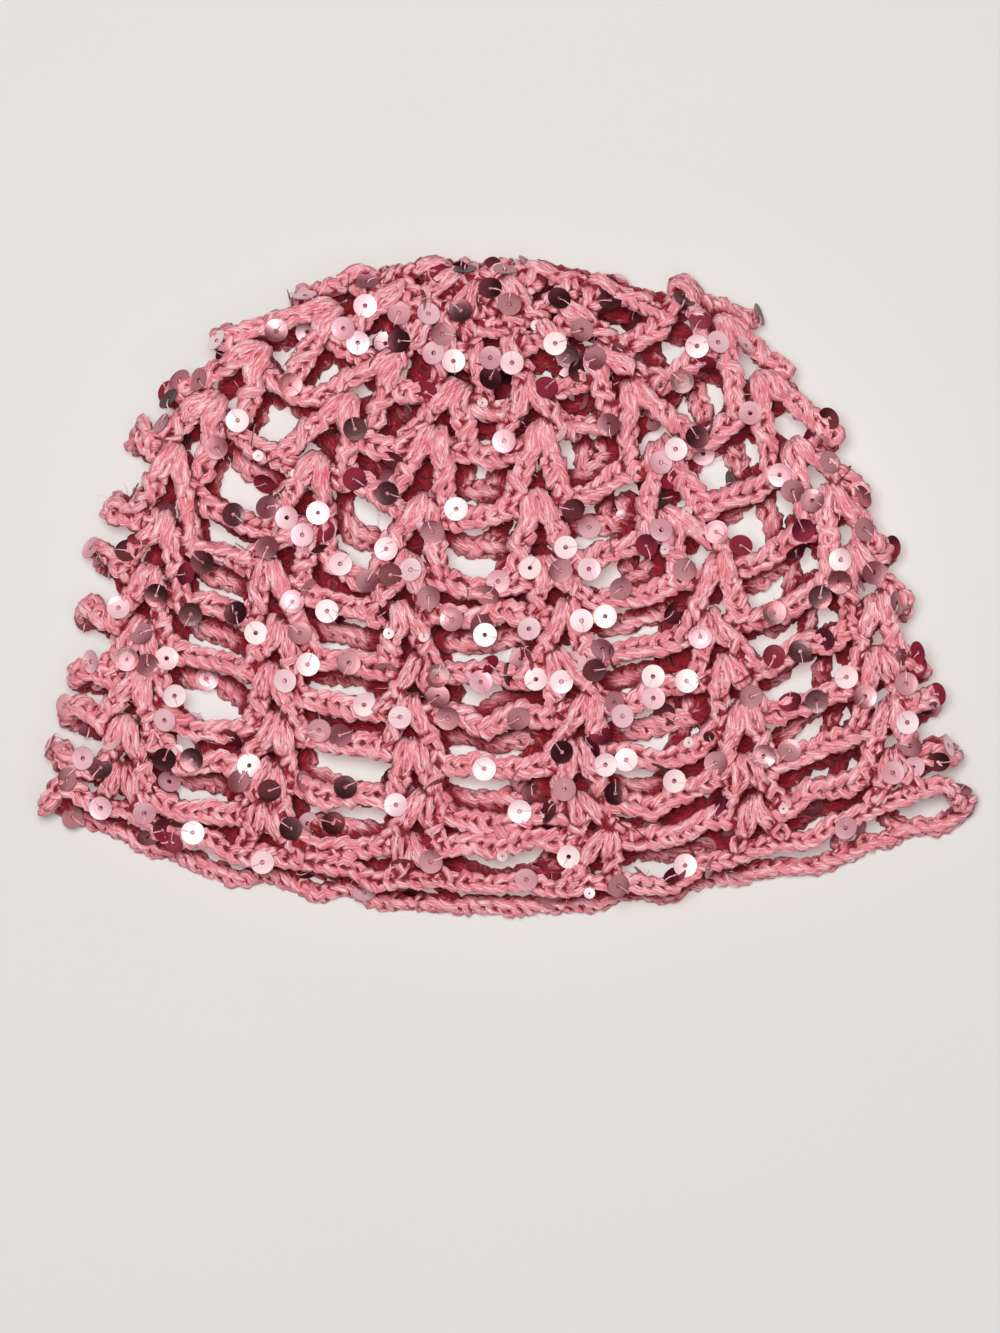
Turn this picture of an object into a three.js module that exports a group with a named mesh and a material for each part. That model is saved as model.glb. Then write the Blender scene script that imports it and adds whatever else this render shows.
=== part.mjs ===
// Crochet skull cap with sequins, laid flat with its crown away from the viewer.
// Units are millimetres. +X runs across the cap, +Y from the rim up to the crown, and +Z up off the
// surface that the cap lies on. The origin is the centre of the cap's outline, on that surface.

import * as THREE from "three";

// Driving dimensions of the worked net
const WALL = 4.4; // thickness of one layer of crochet
const LOFT = 12.6; // height from the middle of the lower layer to the middle of the upper one
const FOLD = 6.5; // how far in from the outline a fold rounds over before the layers lie flat
const CHAIN_WIDTH = 5.2; // width of the chain in each round
const RIM_WIDTH = 5.6; // width of the braided edging
const RIB_HEAD = 7.8; // width of a V-stitch where it is gathered under the round above
const RIB_FOOT = 17; // width of a V-stitch where its two legs stand on the round below
const SLIP = 4.2; // how far the lower layer slips towards the rim, halfway from each fold to the middle
const SLIP_ROUNDS = { crown: 4, rim: 2 }; // rounds over which the slip sets in, and dies out at the rim
const GAPE = { upper: 2.2, lowerLeft: 2.4, lowerRight: 4.4 }; // how far the rim opens beside each fold
const CLEARANCE = 0.5; // gap between two pieces that touch on the real cap

// Driving dimensions of a sequin
const SEQUIN_RADIUS = 3;
const SEQUIN_HOLE = 0.5; // radius of the centre hole
const SEQUIN_THICKNESS = 0.3;
const SEQUIN_SIDES = 10;
const SEAT_GAP = 0.4; // gap from the yarn to the underside of a sequin

// How finely the faceted surfaces are cut
const CROWN_COLUMNS = 48;
const ARC_SEGMENTS = 4; // in a chain arc that lies flat
const FOLD_SEGMENTS = 8; // in a chain arc that turns round a side fold

// One row for each round of the work, from the crown's centre to the rim: where the round meets the left
// and the right fold, and how low its middle hangs on the upper and on the lower layer.
const ROUNDS = [
  { leftX: -4.3, leftY: 80.5, rightX: -4.3, rightY: 80.5, upperY: 80.5, lowerY: 80.5 },
  { leftX: -19.3, leftY: 80.2, rightX: 9.6, rightY: 78.9, upperY: 72.1, lowerY: 70.8 },
  { leftX: -37.0, leftY: 77.6, rightX: 27.3, rightY: 76.4, upperY: 58.2, lowerY: 55.7 },
  { leftX: -52.1, leftY: 73.8, rightX: 45.1, rightY: 73.3, upperY: 46.8, lowerY: 41.7 },
  { leftX: -71.1, leftY: 63.8, rightX: 58.2, rightY: 64.5, upperY: 35.4, lowerY: 26.6 },
  { leftX: -83.0, leftY: 49.8, rightX: 69.6, rightY: 51.9, upperY: 17.7, lowerY: 11.9 },
  { leftX: -92.6, leftY: 38.0, rightX: 81.7, rightY: 38.0, upperY: 1.8, lowerY: 0.0 },
  { leftX: -98.2, leftY: 20.7, rightX: 89.6, rightY: 24.0, upperY: -8.9, lowerY: -11.9 },
  { leftX: -102.2, leftY: 7.1, rightX: 95.7, rightY: 10.1, upperY: -22.0, lowerY: -25.3 },
  { leftX: -105.3, leftY: -6.3, rightX: 100.0, rightY: -3.8, upperY: -32.4, lowerY: -36.7 },
  { leftX: -107.3, leftY: -19.0, rightX: 103.8, rightY: -16.4, upperY: -43.8, lowerY: -49.8 },
  { leftX: -109.8, leftY: -30.9, rightX: 107.8, rightY: -27.8, upperY: -56.2, lowerY: -60.7 },
  { leftX: -112.4, leftY: -42.5, rightX: 112.1, rightY: -40.5, upperY: -65.8, lowerY: -70.1 },
  { leftX: -114.1, leftY: -51.9, rightX: 114.0, rightY: -50.6, upperY: -74.1, lowerY: -79.9 },
];
const CROWN_ROUNDS = [0, 0.2, 0.5, 1, 2, 3]; // the last one is the crown's edge
const EDGE_ROUND = 3;
const RIM_ROUND = 13;

// One row for each rib of V-stitches: where it stands in the round, in degrees of turn from the left fold,
// across the upper layer first (0 to 180) and back across the lower one (180 to 360).
const RIBS = [
  { atCrown: 28, atRim: 32 },
  { atCrown: 57, atRim: 58 },
  { atCrown: 78, atRim: 79 },
  { atCrown: 101, atRim: 102 },
  { atCrown: 127, atRim: 124 },
  { atCrown: 166, atRim: 149 },
  { atCrown: 211, atRim: 217 },
  { atCrown: 239, atRim: 242 },
  { atCrown: 261, atRim: 262 },
  { atCrown: 281, atRim: 281 },
  { atCrown: 302, atRim: 301 },
  { atCrown: 328, atRim: 325 },
];

// One row for each main sequin on the upper layer: its place in plan and its finish.
const SEQUINS = [
  { x: -12, y: 55, finish: "pearl" },
  { x: 11, y: 60, finish: "pearl" },
  { x: 50, y: 66, finish: "pearl" },
  { x: -69, y: 54, finish: "pearl" },
  { x: -68, y: 47, finish: "pearl" },
  { x: -53, y: 51, finish: "smoke" },
  { x: 43, y: 49, finish: "smoke" },
  { x: -81, y: 40, finish: "smoke" },
  { x: 0, y: 37, finish: "rose" },
  { x: -36, y: 33, finish: "smoke" },
  { x: -55, y: 20, finish: "rose" },
  { x: -12, y: 20, finish: "pearl" },
  { x: 85, y: 12, finish: "pearl" },
  { x: 7, y: 7, finish: "pearl" },
  { x: 21, y: 5, finish: "pearl" },
  { x: -75, y: 4, finish: "smoke" },
  { x: -44, y: -7, finish: "pearl" },
  { x: -62, y: -11, finish: "pearl" },
  { x: 19, y: -8, finish: "pearl" },
  { x: -5, y: -14, finish: "pearl" },
  { x: 67, y: -6, finish: "smoke" },
  { x: -84, y: -19, finish: "pearl" },
  { x: -55, y: -23, finish: "pearl" },
  { x: 14, y: -24, finish: "pearl" },
  { x: 46, y: -23, finish: "pearl" },
  { x: 86, y: -22, finish: "pearl" },
  { x: -35, y: -29, finish: "pearl" },
  { x: -26, y: -32, finish: "pearl" },
  { x: -64, y: -41, finish: "pearl" },
  { x: 100, y: -36, finish: "pearl" },
  { x: -5, y: -45, finish: "pearl" },
  { x: 25, y: -45, finish: "pearl" },
  { x: 43, y: -48, finish: "pearl" },
  { x: -27, y: -54, finish: "pearl" },
  { x: -78, y: -61, finish: "pearl" },
  { x: 16, y: -67, finish: "pearl" },
];

const YARN = { color: 0xe08c9a, roughness: 0.9, metalness: 0 };
const FINISHES = {
  pearl: { color: 0xf4dfe2, roughness: 0.25, metalness: 0.1 },
  rose: { color: 0xd9909e, roughness: 0.25, metalness: 0.1 },
  smoke: { color: 0x5a2f38, roughness: 0.2, metalness: 0.3 },
};

const { lerp, clamp, degToRad, smoothstep } = THREE.MathUtils;
const FULL_TURN = 2 * Math.PI;

/** The table's row at a round, blended between two rows where the round isn't whole. */
function roundAt(round) {
  const above = clamp(Math.floor(round), 0, ROUNDS.length - 2);
  const row = {};
  for (const name of Object.keys(ROUNDS[0])) {
    row[name] = lerp(ROUNDS[above][name], ROUNDS[above + 1][name], round - above);
  }
  return row;
}

/** Place in plan of a point of the wall: which round it is on, and its turn from the left fold in radians. */
function planPoint(round, turn) {
  const row = roundAt(round);
  const across = (1 - Math.cos(turn)) / 2;
  const middleY = Math.sin(turn) >= 0 ? row.upperY : row.lowerY;
  const drop = middleY - (row.leftY + row.rightY) / 2;
  const x = lerp(row.leftX, row.rightX, across);
  const y = lerp(row.leftY, row.rightY, across) + drop * Math.sin(Math.PI * across);
  return new THREE.Vector3(x, y - slipAt(round, turn) + gapeAt(round, turn), 0);
}

/** How far the lower layer lies towards the rim of where it would hang by itself. */
function slipAt(round, turn) {
  if (Math.sin(turn) >= 0) {
    return 0;
  }
  const held = Math.min(1, round / SLIP_ROUNDS.crown, (RIM_ROUND - round) / SLIP_ROUNDS.rim);
  return SLIP * held * Math.sin(Math.PI * Math.cos(turn)) ** 2;
}

/** How far up the rim of the upper layer lies beside a fold, and how far down that of the lower one. */
function gapeAt(round, turn) {
  const inward = Math.abs(Math.sin(turn));
  const reach = Math.min(1, 3 * inward) * (1 - smoothstep(inward, 0.5, 0.95));
  const lower = Math.cos(turn) > 0 ? GAPE.lowerLeft : GAPE.lowerRight;
  const gape = Math.sin(turn) >= 0 ? GAPE.upper : -lower;
  return gape * reach * Math.max(0, round - RIM_ROUND + 1);
}

/** The folds as one chain of lines, up the left side, over the crown and down the right side. */
function foldLines() {
  const left = ROUNDS.map((row) => new THREE.Vector3(row.leftX, row.leftY, 0)).reverse();
  const right = ROUNDS.slice(1).map((row) => new THREE.Vector3(row.rightX, row.rightY, 0));
  const corners = [...left, ...right];
  return corners.slice(1).map((corner, index) => new THREE.Line3(corners[index], corner));
}

const FOLD_LINES = foldLines();

/** Distance in plan from a point to the nearest fold. */
function distanceToFold(point) {
  const nearest = new THREE.Vector3();
  const distances = FOLD_LINES.map((line) => line.closestPointToPoint(point, true, nearest).distanceTo(point));
  return Math.min(...distances);
}

/** Point on the middle of the wall. The layers part where they round over at a fold, and then lie flat. */
function wallPoint(round, turn) {
  const point = planPoint(round, turn);
  const reach = 1 - Math.min(1, distanceToFold(point) / FOLD);
  const rise = (LOFT / 2) * Math.sqrt(1 - reach * reach);
  const layer = Math.sin(turn) >= 0 ? 1 : -1;
  point.z = (WALL + LOFT) / 2 + layer * rise;
  return point;
}

/** A point of the wall with the directions round the cap, down to the rim and out of the wall. */
function wallFrame(round, turn) {
  const roundStep = 0.05;
  const turnStep = 0.02;
  const above = wallPoint(Math.max(0, round - roundStep), turn);
  const below = wallPoint(Math.min(RIM_ROUND, round + roundStep), turn);
  const before = wallPoint(round, turn - turnStep);
  const after = wallPoint(round, turn + turnStep);
  const down = below.sub(above).normalize();
  const out = new THREE.Vector3().crossVectors(down, after.sub(before)).normalize();
  return { point: wallPoint(round, turn), down, out };
}

/** The outer and inner corners of the wall at a round and turn, moved down the wall by a distance. */
function wallCorners(round, turn, shift) {
  if (round === 0) {
    const centre = wallPoint(0, 0);
    const half = new THREE.Vector3(0, WALL / 2, 0);
    return { outer: centre.clone().add(half), inner: centre.clone().sub(half) };
  }
  const { point, down, out } = wallFrame(round, turn);
  point.addScaledVector(down, shift);
  const outer = point.clone().addScaledVector(out, WALL / 2);
  const inner = point.clone().addScaledVector(out, -WALL / 2);
  outer.z = Math.max(outer.z, 0); // the lower layer lies on the surface, and no lower
  return { outer, inner };
}

/** A line of corners round the whole cap. */
function wallLine(round, turns, shift) {
  return turns.map((turn) => wallCorners(round, turn, shift));
}

/** Adds a four-cornered face, counter-clockwise from outside, without the triangles that have no area. */
function addFace(corners, a, b, c, d) {
  for (const [first, second, third] of [[a, b, c], [a, c, d]]) {
    if (!first.equals(second) && !second.equals(third) && !third.equals(first)) {
      corners.push(first, second, third);
    }
  }
}

/** A wall between lines of corners that run round the cap, with a cell for each that isSolid names. */
function wallGeometry(lines, isSolid) {
  const columns = lines[0].length;
  const solidAt = (line, column) =>
    line >= 0 && line < lines.length - 1 && isSolid(line, (column + columns) % columns);
  const corners = [];
  for (let line = 0; line < lines.length - 1; line += 1) {
    for (let column = 0; column < columns; column += 1) {
      if (!solidAt(line, column)) {
        continue;
      }
      const next = (column + 1) % columns;
      const topLeft = lines[line][column];
      const topRight = lines[line][next];
      const lowLeft = lines[line + 1][column];
      const lowRight = lines[line + 1][next];
      addFace(corners, topLeft.outer, lowLeft.outer, lowRight.outer, topRight.outer);
      addFace(corners, topLeft.inner, topRight.inner, lowRight.inner, lowLeft.inner);
      if (!solidAt(line - 1, column)) {
        addFace(corners, topLeft.outer, topRight.outer, topRight.inner, topLeft.inner);
      }
      if (!solidAt(line + 1, column)) {
        addFace(corners, lowLeft.outer, lowLeft.inner, lowRight.inner, lowRight.outer);
      }
      if (!solidAt(line, column - 1)) {
        addFace(corners, topLeft.outer, topLeft.inner, lowLeft.inner, lowLeft.outer);
      }
      if (!solidAt(line, column + 1)) {
        addFace(corners, topRight.outer, lowRight.outer, lowRight.inner, topRight.inner);
      }
    }
  }
  const geometry = new THREE.BufferGeometry().setFromPoints(corners);
  geometry.computeVertexNormals();
  return geometry;
}

/** Turn of a rib in radians where it crosses a round. */
function ribTurn(rib, round) {
  const along = (round - EDGE_ROUND) / (RIM_ROUND - EDGE_ROUND);
  return degToRad(lerp(rib.atCrown, rib.atRim, along));
}

/** How much turn a width takes up at a place in a round. */
function turnOfWidth(round, turn, width) {
  const step = 0.02;
  const travel = wallPoint(round, turn - step).distanceTo(wallPoint(round, turn + step));
  return (width * 2 * step) / travel;
}

/** The turns of a round's columns: the two edges of each rib, and the steps of the arc that follows it. */
function columnTurns(round, ribWidth) {
  const ribs = RIBS.map((rib) => ribTurn(rib, round));
  const halves = ribs.map((turn) => turnOfWidth(round, turn, ribWidth) / 2);
  return ribs.flatMap((turn, index) => {
    const next = (index + 1) % ribs.length;
    const arcStart = turn + halves[index];
    const arcEnd = ribs[next] - halves[next] + (next === 0 ? FULL_TURN : 0);
    const segments = arcSegments(index);
    const steps = Array.from({ length: segments }, (_, step) => lerp(arcStart, arcEnd, step / segments));
    return [turn - halves[index], ...steps];
  });
}

/** Number of steps in the arc after a rib: more where it turns round a side fold. */
function arcSegments(index) {
  const turnsRoundFold = (index + 1) % (RIBS.length / 2) === 0;
  return turnsRoundFold ? FOLD_SEGMENTS : ARC_SEGMENTS;
}

/** The columns at which a rib starts. */
function ribColumns() {
  const columns = new Set();
  let column = 0;
  for (let index = 0; index < RIBS.length; index += 1) {
    columns.add(column);
    column += 1 + arcSegments(index);
  }
  return columns;
}

/** A named mesh in one of the cap's materials. */
function named(name, geometry, material) {
  const mesh = new THREE.Mesh(geometry, new THREE.MeshStandardMaterial(material));
  mesh.name = name;
  return mesh;
}

/** The dense first rounds, folded over at the top of the cap. */
function crown() {
  const turns = Array.from({ length: CROWN_COLUMNS }, (_, column) => (column * FULL_TURN) / CROWN_COLUMNS);
  const lines = CROWN_ROUNDS.map((round) => {
    const shift = round === EDGE_ROUND ? CHAIN_WIDTH / 2 : 0;
    return wallLine(round, turns, shift);
  });
  return named("crown", wallGeometry(lines, () => true), YARN);
}

/** The open work: rounds of chain joined by the ribs, which run on to the crown and to the rim. */
function net() {
  const crownReach = CHAIN_WIDTH / 2 + CLEARANCE;
  const rimReach = RIM_WIDTH / 2 + CLEARANCE;
  const lines = [wallLine(EDGE_ROUND, columnTurns(EDGE_ROUND, RIB_HEAD), crownReach)];
  for (let round = EDGE_ROUND + 1; round < RIM_ROUND; round += 1) {
    lines.push(wallLine(round, columnTurns(round, RIB_FOOT), -CHAIN_WIDTH / 2));
    lines.push(wallLine(round, columnTurns(round, RIB_HEAD), CHAIN_WIDTH / 2));
  }
  lines.push(wallLine(RIM_ROUND, columnTurns(RIM_ROUND, RIB_FOOT), -rimReach));
  const ribs = ribColumns();
  const isSolid = (line, column) => line % 2 === 1 || ribs.has(column);
  return named("net", wallGeometry(lines, isSolid), YARN);
}

/** The braided edging round the opening. */
function rim() {
  const turns = columnTurns(RIM_ROUND, RIB_FOOT);
  const lines = [wallLine(RIM_ROUND, turns, -RIM_WIDTH / 2), wallLine(RIM_ROUND, turns, RIM_WIDTH / 2)];
  return named("rim", wallGeometry(lines, () => true), YARN);
}

/** The seat of a sequin: the nearest round of the upper layer, or as far down from it as the yarn reaches. */
function sequinSeat({ x, y }) {
  const seats = ROUNDS.slice(1).map((row, index) => {
    const turn = Math.acos(1 - 2 * clamp((x - row.leftX) / (row.rightX - row.leftX), 0, 1));
    const frame = wallFrame(index + 1, turn);
    return { ...frame, away: frame.point.y - y };
  });
  seats.sort((one, other) => Math.abs(one.away) - Math.abs(other.away));
  const seat = seats[0];
  const reach = CHAIN_WIDTH / 2;
  seat.point.addScaledVector(seat.down, clamp(seat.away, -reach, reach));
  return seat;
}

/** A thin washer, flat on the yarn. */
function sequin(entry, index) {
  const outline = new THREE.Shape().absarc(0, 0, SEQUIN_RADIUS, 0, FULL_TURN, false);
  outline.holes.push(new THREE.Path().absarc(0, 0, SEQUIN_HOLE, 0, FULL_TURN, true));
  const geometry = new THREE.ExtrudeGeometry(outline, {
    depth: SEQUIN_THICKNESS,
    bevelEnabled: false,
    curveSegments: SEQUIN_SIDES / 2,
  });
  const number = String(index + 1).padStart(2, "0");
  const mesh = named(`sequin_${number}`, geometry, FINISHES[entry.finish]);
  const { point, out } = sequinSeat(entry);
  mesh.quaternion.setFromUnitVectors(new THREE.Vector3(0, 0, 1), out);
  mesh.position.copy(point).addScaledVector(out, WALL / 2 + SEAT_GAP);
  return mesh;
}

/** All the main sequins. */
function sequins() {
  const group = new THREE.Group();
  group.add(...SEQUINS.map(sequin));
  return group;
}

const skullCap = new THREE.Group();
skullCap.add(crown(), net(), rim(), sequins());

export default skullCap;
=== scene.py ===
"""Crochet skull cap with sequins, laid flat: the dressed model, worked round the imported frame.

Shapes are worked in millimetres and become metres when a mesh is made. Rounds run from 0 at the crown's
centre to 13 at the rim. A turn runs from 0 at the left fold across the upper layer to half a turn at the
right fold, and back across the lower layer.
"""

import logging
import math
from dataclasses import dataclass, field
from enum import Enum

import bpy
import numpy as np
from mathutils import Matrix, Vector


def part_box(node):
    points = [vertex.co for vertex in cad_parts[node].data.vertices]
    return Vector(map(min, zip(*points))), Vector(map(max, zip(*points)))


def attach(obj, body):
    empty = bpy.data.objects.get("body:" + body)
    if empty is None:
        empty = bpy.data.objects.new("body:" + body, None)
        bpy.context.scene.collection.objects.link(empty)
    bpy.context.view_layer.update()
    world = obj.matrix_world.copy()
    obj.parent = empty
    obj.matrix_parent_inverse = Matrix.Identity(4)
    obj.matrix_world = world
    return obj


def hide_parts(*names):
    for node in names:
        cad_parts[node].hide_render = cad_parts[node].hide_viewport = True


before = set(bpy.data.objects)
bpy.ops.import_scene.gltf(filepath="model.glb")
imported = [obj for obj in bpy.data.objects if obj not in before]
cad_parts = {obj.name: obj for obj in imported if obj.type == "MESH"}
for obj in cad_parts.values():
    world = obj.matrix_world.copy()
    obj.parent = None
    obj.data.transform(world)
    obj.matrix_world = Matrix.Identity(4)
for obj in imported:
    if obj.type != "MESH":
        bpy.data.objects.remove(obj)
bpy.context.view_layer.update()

Array = np.ndarray
Colour = tuple[float, float, float]
Rng = np.random.Generator
Piece = bpy.types.Object

METRES = 0.001
FULL_TURN = 2 * math.pi
BODY = "root"
SEED = 41
RIM_ROUND = 13
SPAN_STEPS = 6  # places worked out between two control points of a smooth line
STRAND_MAP = "OFBake"
DISC_MAP = "Disc"
# The name of the painted shade that the yarn keeps at each point
PAINTED_SHADE_NAME = "painted_shade"  # from 0 where yarn lies open to 1 deep between others
# The lean of each sequin's painted reflection, from its bright tone to its dull one
SHADE = "shade"  # how far a sequin's tone leans to its dull colour
log = logging.getLogger("cap")


def linear(red: int, green: int, blue: int) -> Colour:
    """A colour as light, from its everyday numbers of 0 to 255."""
    shares = (red / 255, green / 255, blue / 255)
    return tuple(c / 12.92 if c <= 0.04045 else ((c + 0.055) / 1.055) ** 2.4 for c in shares)


def unit(vectors: Array) -> Array:
    """The same directions at a length of one."""
    return vectors / np.maximum(np.linalg.norm(vectors, axis=-1, keepdims=True), 1e-9)


def smooth_step(share: Array) -> Array:
    """An even rise from 0 to 1 that starts and ends gently."""
    share = np.clip(share, 0, 1)
    return share * share * (3 - 2 * share)


def smooth_line(controls: Array, step: float) -> Array:
    """A smooth line through control points.

    Args:
        controls: The points to pass through, one row each. Columns after the third go along with them.
        step: Distance between the points of the line.

    Returns:
        Rows of the line, evenly apart.
    """
    padded = np.vstack([2 * controls[0] - controls[1], controls, 2 * controls[-1] - controls[-2]])
    a, b, c, d = (padded[i : len(padded) - 3 + i, None] for i in range(4))
    t = np.linspace(0, 1, SPAN_STEPS, endpoint=False)[None, :, None]
    spans = 0.5 * (
        2 * b + (c - a) * t + (2 * a - 5 * b + 4 * c - d) * t**2 + (3 * b - a - 3 * c + d) * t**3
    )
    fine = np.vstack([spans.reshape(-1, controls.shape[1]), controls[-1:]])
    reached = run_length(fine[:, :3])
    places = np.linspace(0, reached[-1], max(4, round(reached[-1] / step) + 1))
    return np.stack([np.interp(places, reached, column) for column in fine.T], 1)


def run_length(places: Array) -> Array:
    """How far along their line each of these places is."""
    steps = np.linalg.norm(np.diff(places, axis=0), axis=1)
    return np.append(0, np.cumsum(steps))


def slow_noise(rng: Rng, places: Array, spacing: float) -> Array:
    """Smooth random numbers of about -1 to 1.

    Args:
        rng: The source of chance.
        places: Where the numbers are wanted, from 0 up.
        spacing: Distance over which they change.

    Returns:
        One number for each place.
    """
    knots = rng.uniform(-1, 1, int(places.max() / spacing) + 4)
    at = places / spacing
    below = np.floor(at).astype(int)
    rise = smooth_step(at - below)
    return knots[below] * (1 - rise) + knots[below + 1] * rise


class Wire:
    """The output of a shader node, with arithmetic that adds Math nodes."""

    def __init__(self, shader: "Shader", socket: bpy.types.NodeSocket) -> None:
        """Keeps the shader that the socket belongs to, and the socket."""
        self.shader = shader
        self.socket = socket

    def maths(self, operation: str, *values: "Wire | float") -> "Wire":
        """The result of a Math node on these values."""
        return self.shader.wire("ShaderNodeMath", {"operation": operation}, dict(enumerate(values)))

    def __add__(self, other: "Wire | float") -> "Wire":
        """This value plus another."""
        return self.maths("ADD", self, other)

    def __sub__(self, other: "Wire | float") -> "Wire":
        """This value less another."""
        return self.maths("SUBTRACT", self, other)

    def __rsub__(self, other: "Wire | float") -> "Wire":
        """Another value less this one."""
        return self.maths("SUBTRACT", other, self)

    def __mul__(self, other: "Wire | float") -> "Wire":
        """This value times another."""
        return self.maths("MULTIPLY", self, other)

    def __pow__(self, other: float) -> "Wire":
        """This value to a power."""
        return self.maths("POWER", self, other)

    __radd__ = __add__
    __rmul__ = __mul__

    def sine(self) -> "Wire":
        """The sine of this value."""
        return self.maths("SINE", self)

    def cosine(self) -> "Wire":
        """The cosine of this value."""
        return self.maths("COSINE", self)

    def between(self, low: float, high: float) -> "Wire":
        """How far this value is from low to high, as a smooth share of 0 to 1."""
        sockets = {0: self, 1: low, 2: high}
        return self.shader.wire("ShaderNodeMapRange", {"interpolation_type": "SMOOTHSTEP"}, sockets)


class Shader:
    """A material in the making."""

    def __init__(self, name: str) -> None:
        """Starts an empty material of this name."""
        self.material = bpy.data.materials.new(name)
        self.material.use_nodes = True
        self.tree = self.material.node_tree
        self.tree.nodes.clear()

    def node(self, kind: str, settings: dict | None = None, sockets: dict | None = None) -> bpy.types.Node:
        """Adds a node.

        Args:
            kind: Blender's name for the type of node.
            settings: Its properties, which are set first.
            sockets: Values or wires for its inputs, by name or number.

        Returns:
            The node.
        """
        made = self.tree.nodes.new(kind)
        for name, value in (settings or {}).items():
            setattr(made, name, value)
        for name, value in (sockets or {}).items():
            if isinstance(value, Wire):
                self.tree.links.new(value.socket, made.inputs[name])
            else:
                made.inputs[name].default_value = value
        return made

    def wire(self, kind: str, settings: dict | None = None, sockets: dict | None = None) -> Wire:
        """Adds a node and gives its first output."""
        return Wire(self, self.node(kind, settings, sockets).outputs[0])

    def spot(self) -> Wire:
        """The place of each spot on its object, in metres."""
        return Wire(self, self.node("ShaderNodeTexCoord").outputs["Object"])

    def laid(self, name: str) -> Wire:
        """The place of each spot on one of the mesh's maps."""
        return self.wire("ShaderNodeUVMap", {"uv_map": name})

    def kept(self, name: str) -> Wire:
        """The number that the mesh keeps at each point under this name."""
        return Wire(self, self.node("ShaderNodeAttribute", {"attribute_name": name}).outputs["Fac"])

    def noise(self, where: Wire, scale: float, detail: float = 2.0) -> Wire:
        """Soft chance values over these places."""
        sockets = {"Vector": where, "Scale": scale, "Detail": detail}
        return self.wire("ShaderNodeTexNoise", None, sockets)

    def bump(self, height: Wire, strength: float, depth: float) -> Wire:
        """The way the surface faces, with this height worked into it."""
        sockets = {"Strength": strength, "Distance": depth, "Height": height}
        return self.wire("ShaderNodeBump", None, sockets)

    def split(self, vector: Wire) -> list[Wire]:
        """The three numbers of a vector."""
        made = self.node("ShaderNodeSeparateXYZ", None, {0: vector})
        return [Wire(self, output) for output in made.outputs]

    def mix(self, share: "Wire | float", first: "Wire | Colour", second: "Wire | Colour") -> Wire:
        """Blends two colours.

        Args:
            share: How much of the second there is, from 0 to 1.
            first: The colour at a share of 0.
            second: The colour at a share of 1.

        Returns:
            The blend.
        """
        sockets = {0: share}
        for place, colour in ((6, first), (7, second)):
            sockets[place] = colour if isinstance(colour, Wire) else (*colour, 1)
        made = self.node("ShaderNodeMix", {"data_type": "RGBA"}, sockets)
        return Wire(self, made.outputs[2])

    def finish(self, sockets: dict) -> bpy.types.Material:
        """Adds the surface.

        Args:
            sockets: Values or wires for its inputs, by name.

        Returns:
            The finished material.
        """
        surface = self.wire("ShaderNodeBsdfPrincipled", None, sockets)
        self.node("ShaderNodeOutputMaterial", None, {"Surface": surface})
        return self.material


@dataclass(frozen=True)
class YarnFinish:
    """Dyed cotton, spun loosely from a few plies whose fibres show."""

    name: str = "cotton_yarn"
    # Where light reaches it: from the palest fibres to the darkest, with shade painted into the grooves
    # between the plies
    light: Colour = linear(247, 212, 217)
    middle: Colour = linear(230, 142, 152)
    deep: Colour = linear(208, 88, 101)
    # Painted shade, where yarn lies sheltered in crevices or under other yarn, from its grooves to its
    # fibres
    painted_shade_dark: Colour = linear(94, 2, 12)
    painted_shade_light: Colour = linear(172, 40, 56)
    sheen: Colour = linear(255, 200, 208)
    plies: int = 4
    fibres_in_ply: int = 5
    fibre_turns: float = 0.4
    patch_scale: float = 170.0
    bump: float = 0.45
    bump_depth: float = 0.0004

    def material(self) -> bpy.types.Material:
        """Makes the yarn's material, drawn along each strand by its map, with shade painted into its
        grooves and crevices.

        Returns:
            The material.
        """
        shader = Shader(self.name)
        across, along, _ = shader.split(shader.laid(STRAND_MAP))
        angle = (across + along * self.fibre_turns) * FULL_TURN
        drawn = {0: angle.cosine() * 2.6, 1: angle.sine() * 2.6, 2: along * 3.0}
        fibres = shader.noise(shader.wire("ShaderNodeCombineXYZ", None, drawn), 1.1, 3.0)
        ridge = (across * (FULL_TURN * self.plies)).cosine() * 0.5 + 0.5
        fine = ((across + fibres * 0.08) * (FULL_TURN * self.fibres_in_ply * self.plies)).cosine()
        patches = shader.noise(shader.spot(), self.patch_scale)
        streaks = fibres.between(0.3, 0.7)
        # The ridge paints shade into the grooves between the plies; the streaks and patches are the fibres'
        # own tone
        tone = (ridge * 0.12 + fine * 0.08 + streaks * 0.46 + patches * 0.45 + 0.02).between(0, 1)
        ground = shader.mix(tone.between(0, 0.5), self.deep, self.middle)
        lit = shader.mix(tone.between(0.5, 1), ground, self.light)
        # Painted shade for sheltered yarn, and how much of it each spot takes
        shade_paint = shader.mix(tone, self.painted_shade_dark, self.painted_shade_light)
        painted_shade_share = (shader.kept(PAINTED_SHADE_NAME) + (0.5 - tone) * 0.2).between(0.04, 0.84)
        height = ridge * 0.2 + fine * 0.35 + fibres * 0.9
        return shader.finish(
            {
                "Base Color": shader.mix(painted_shade_share, lit, shade_paint),
                "Roughness": 0.88,
                "Specular IOR Level": 0.1,
                "Sheen Weight": 0.2,
                "Sheen Roughness": 0.5,
                "Sheen Tint": (*self.sheen, 1),
                "Normal": shader.bump(height, self.bump, self.bump_depth),
            }
        )


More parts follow.
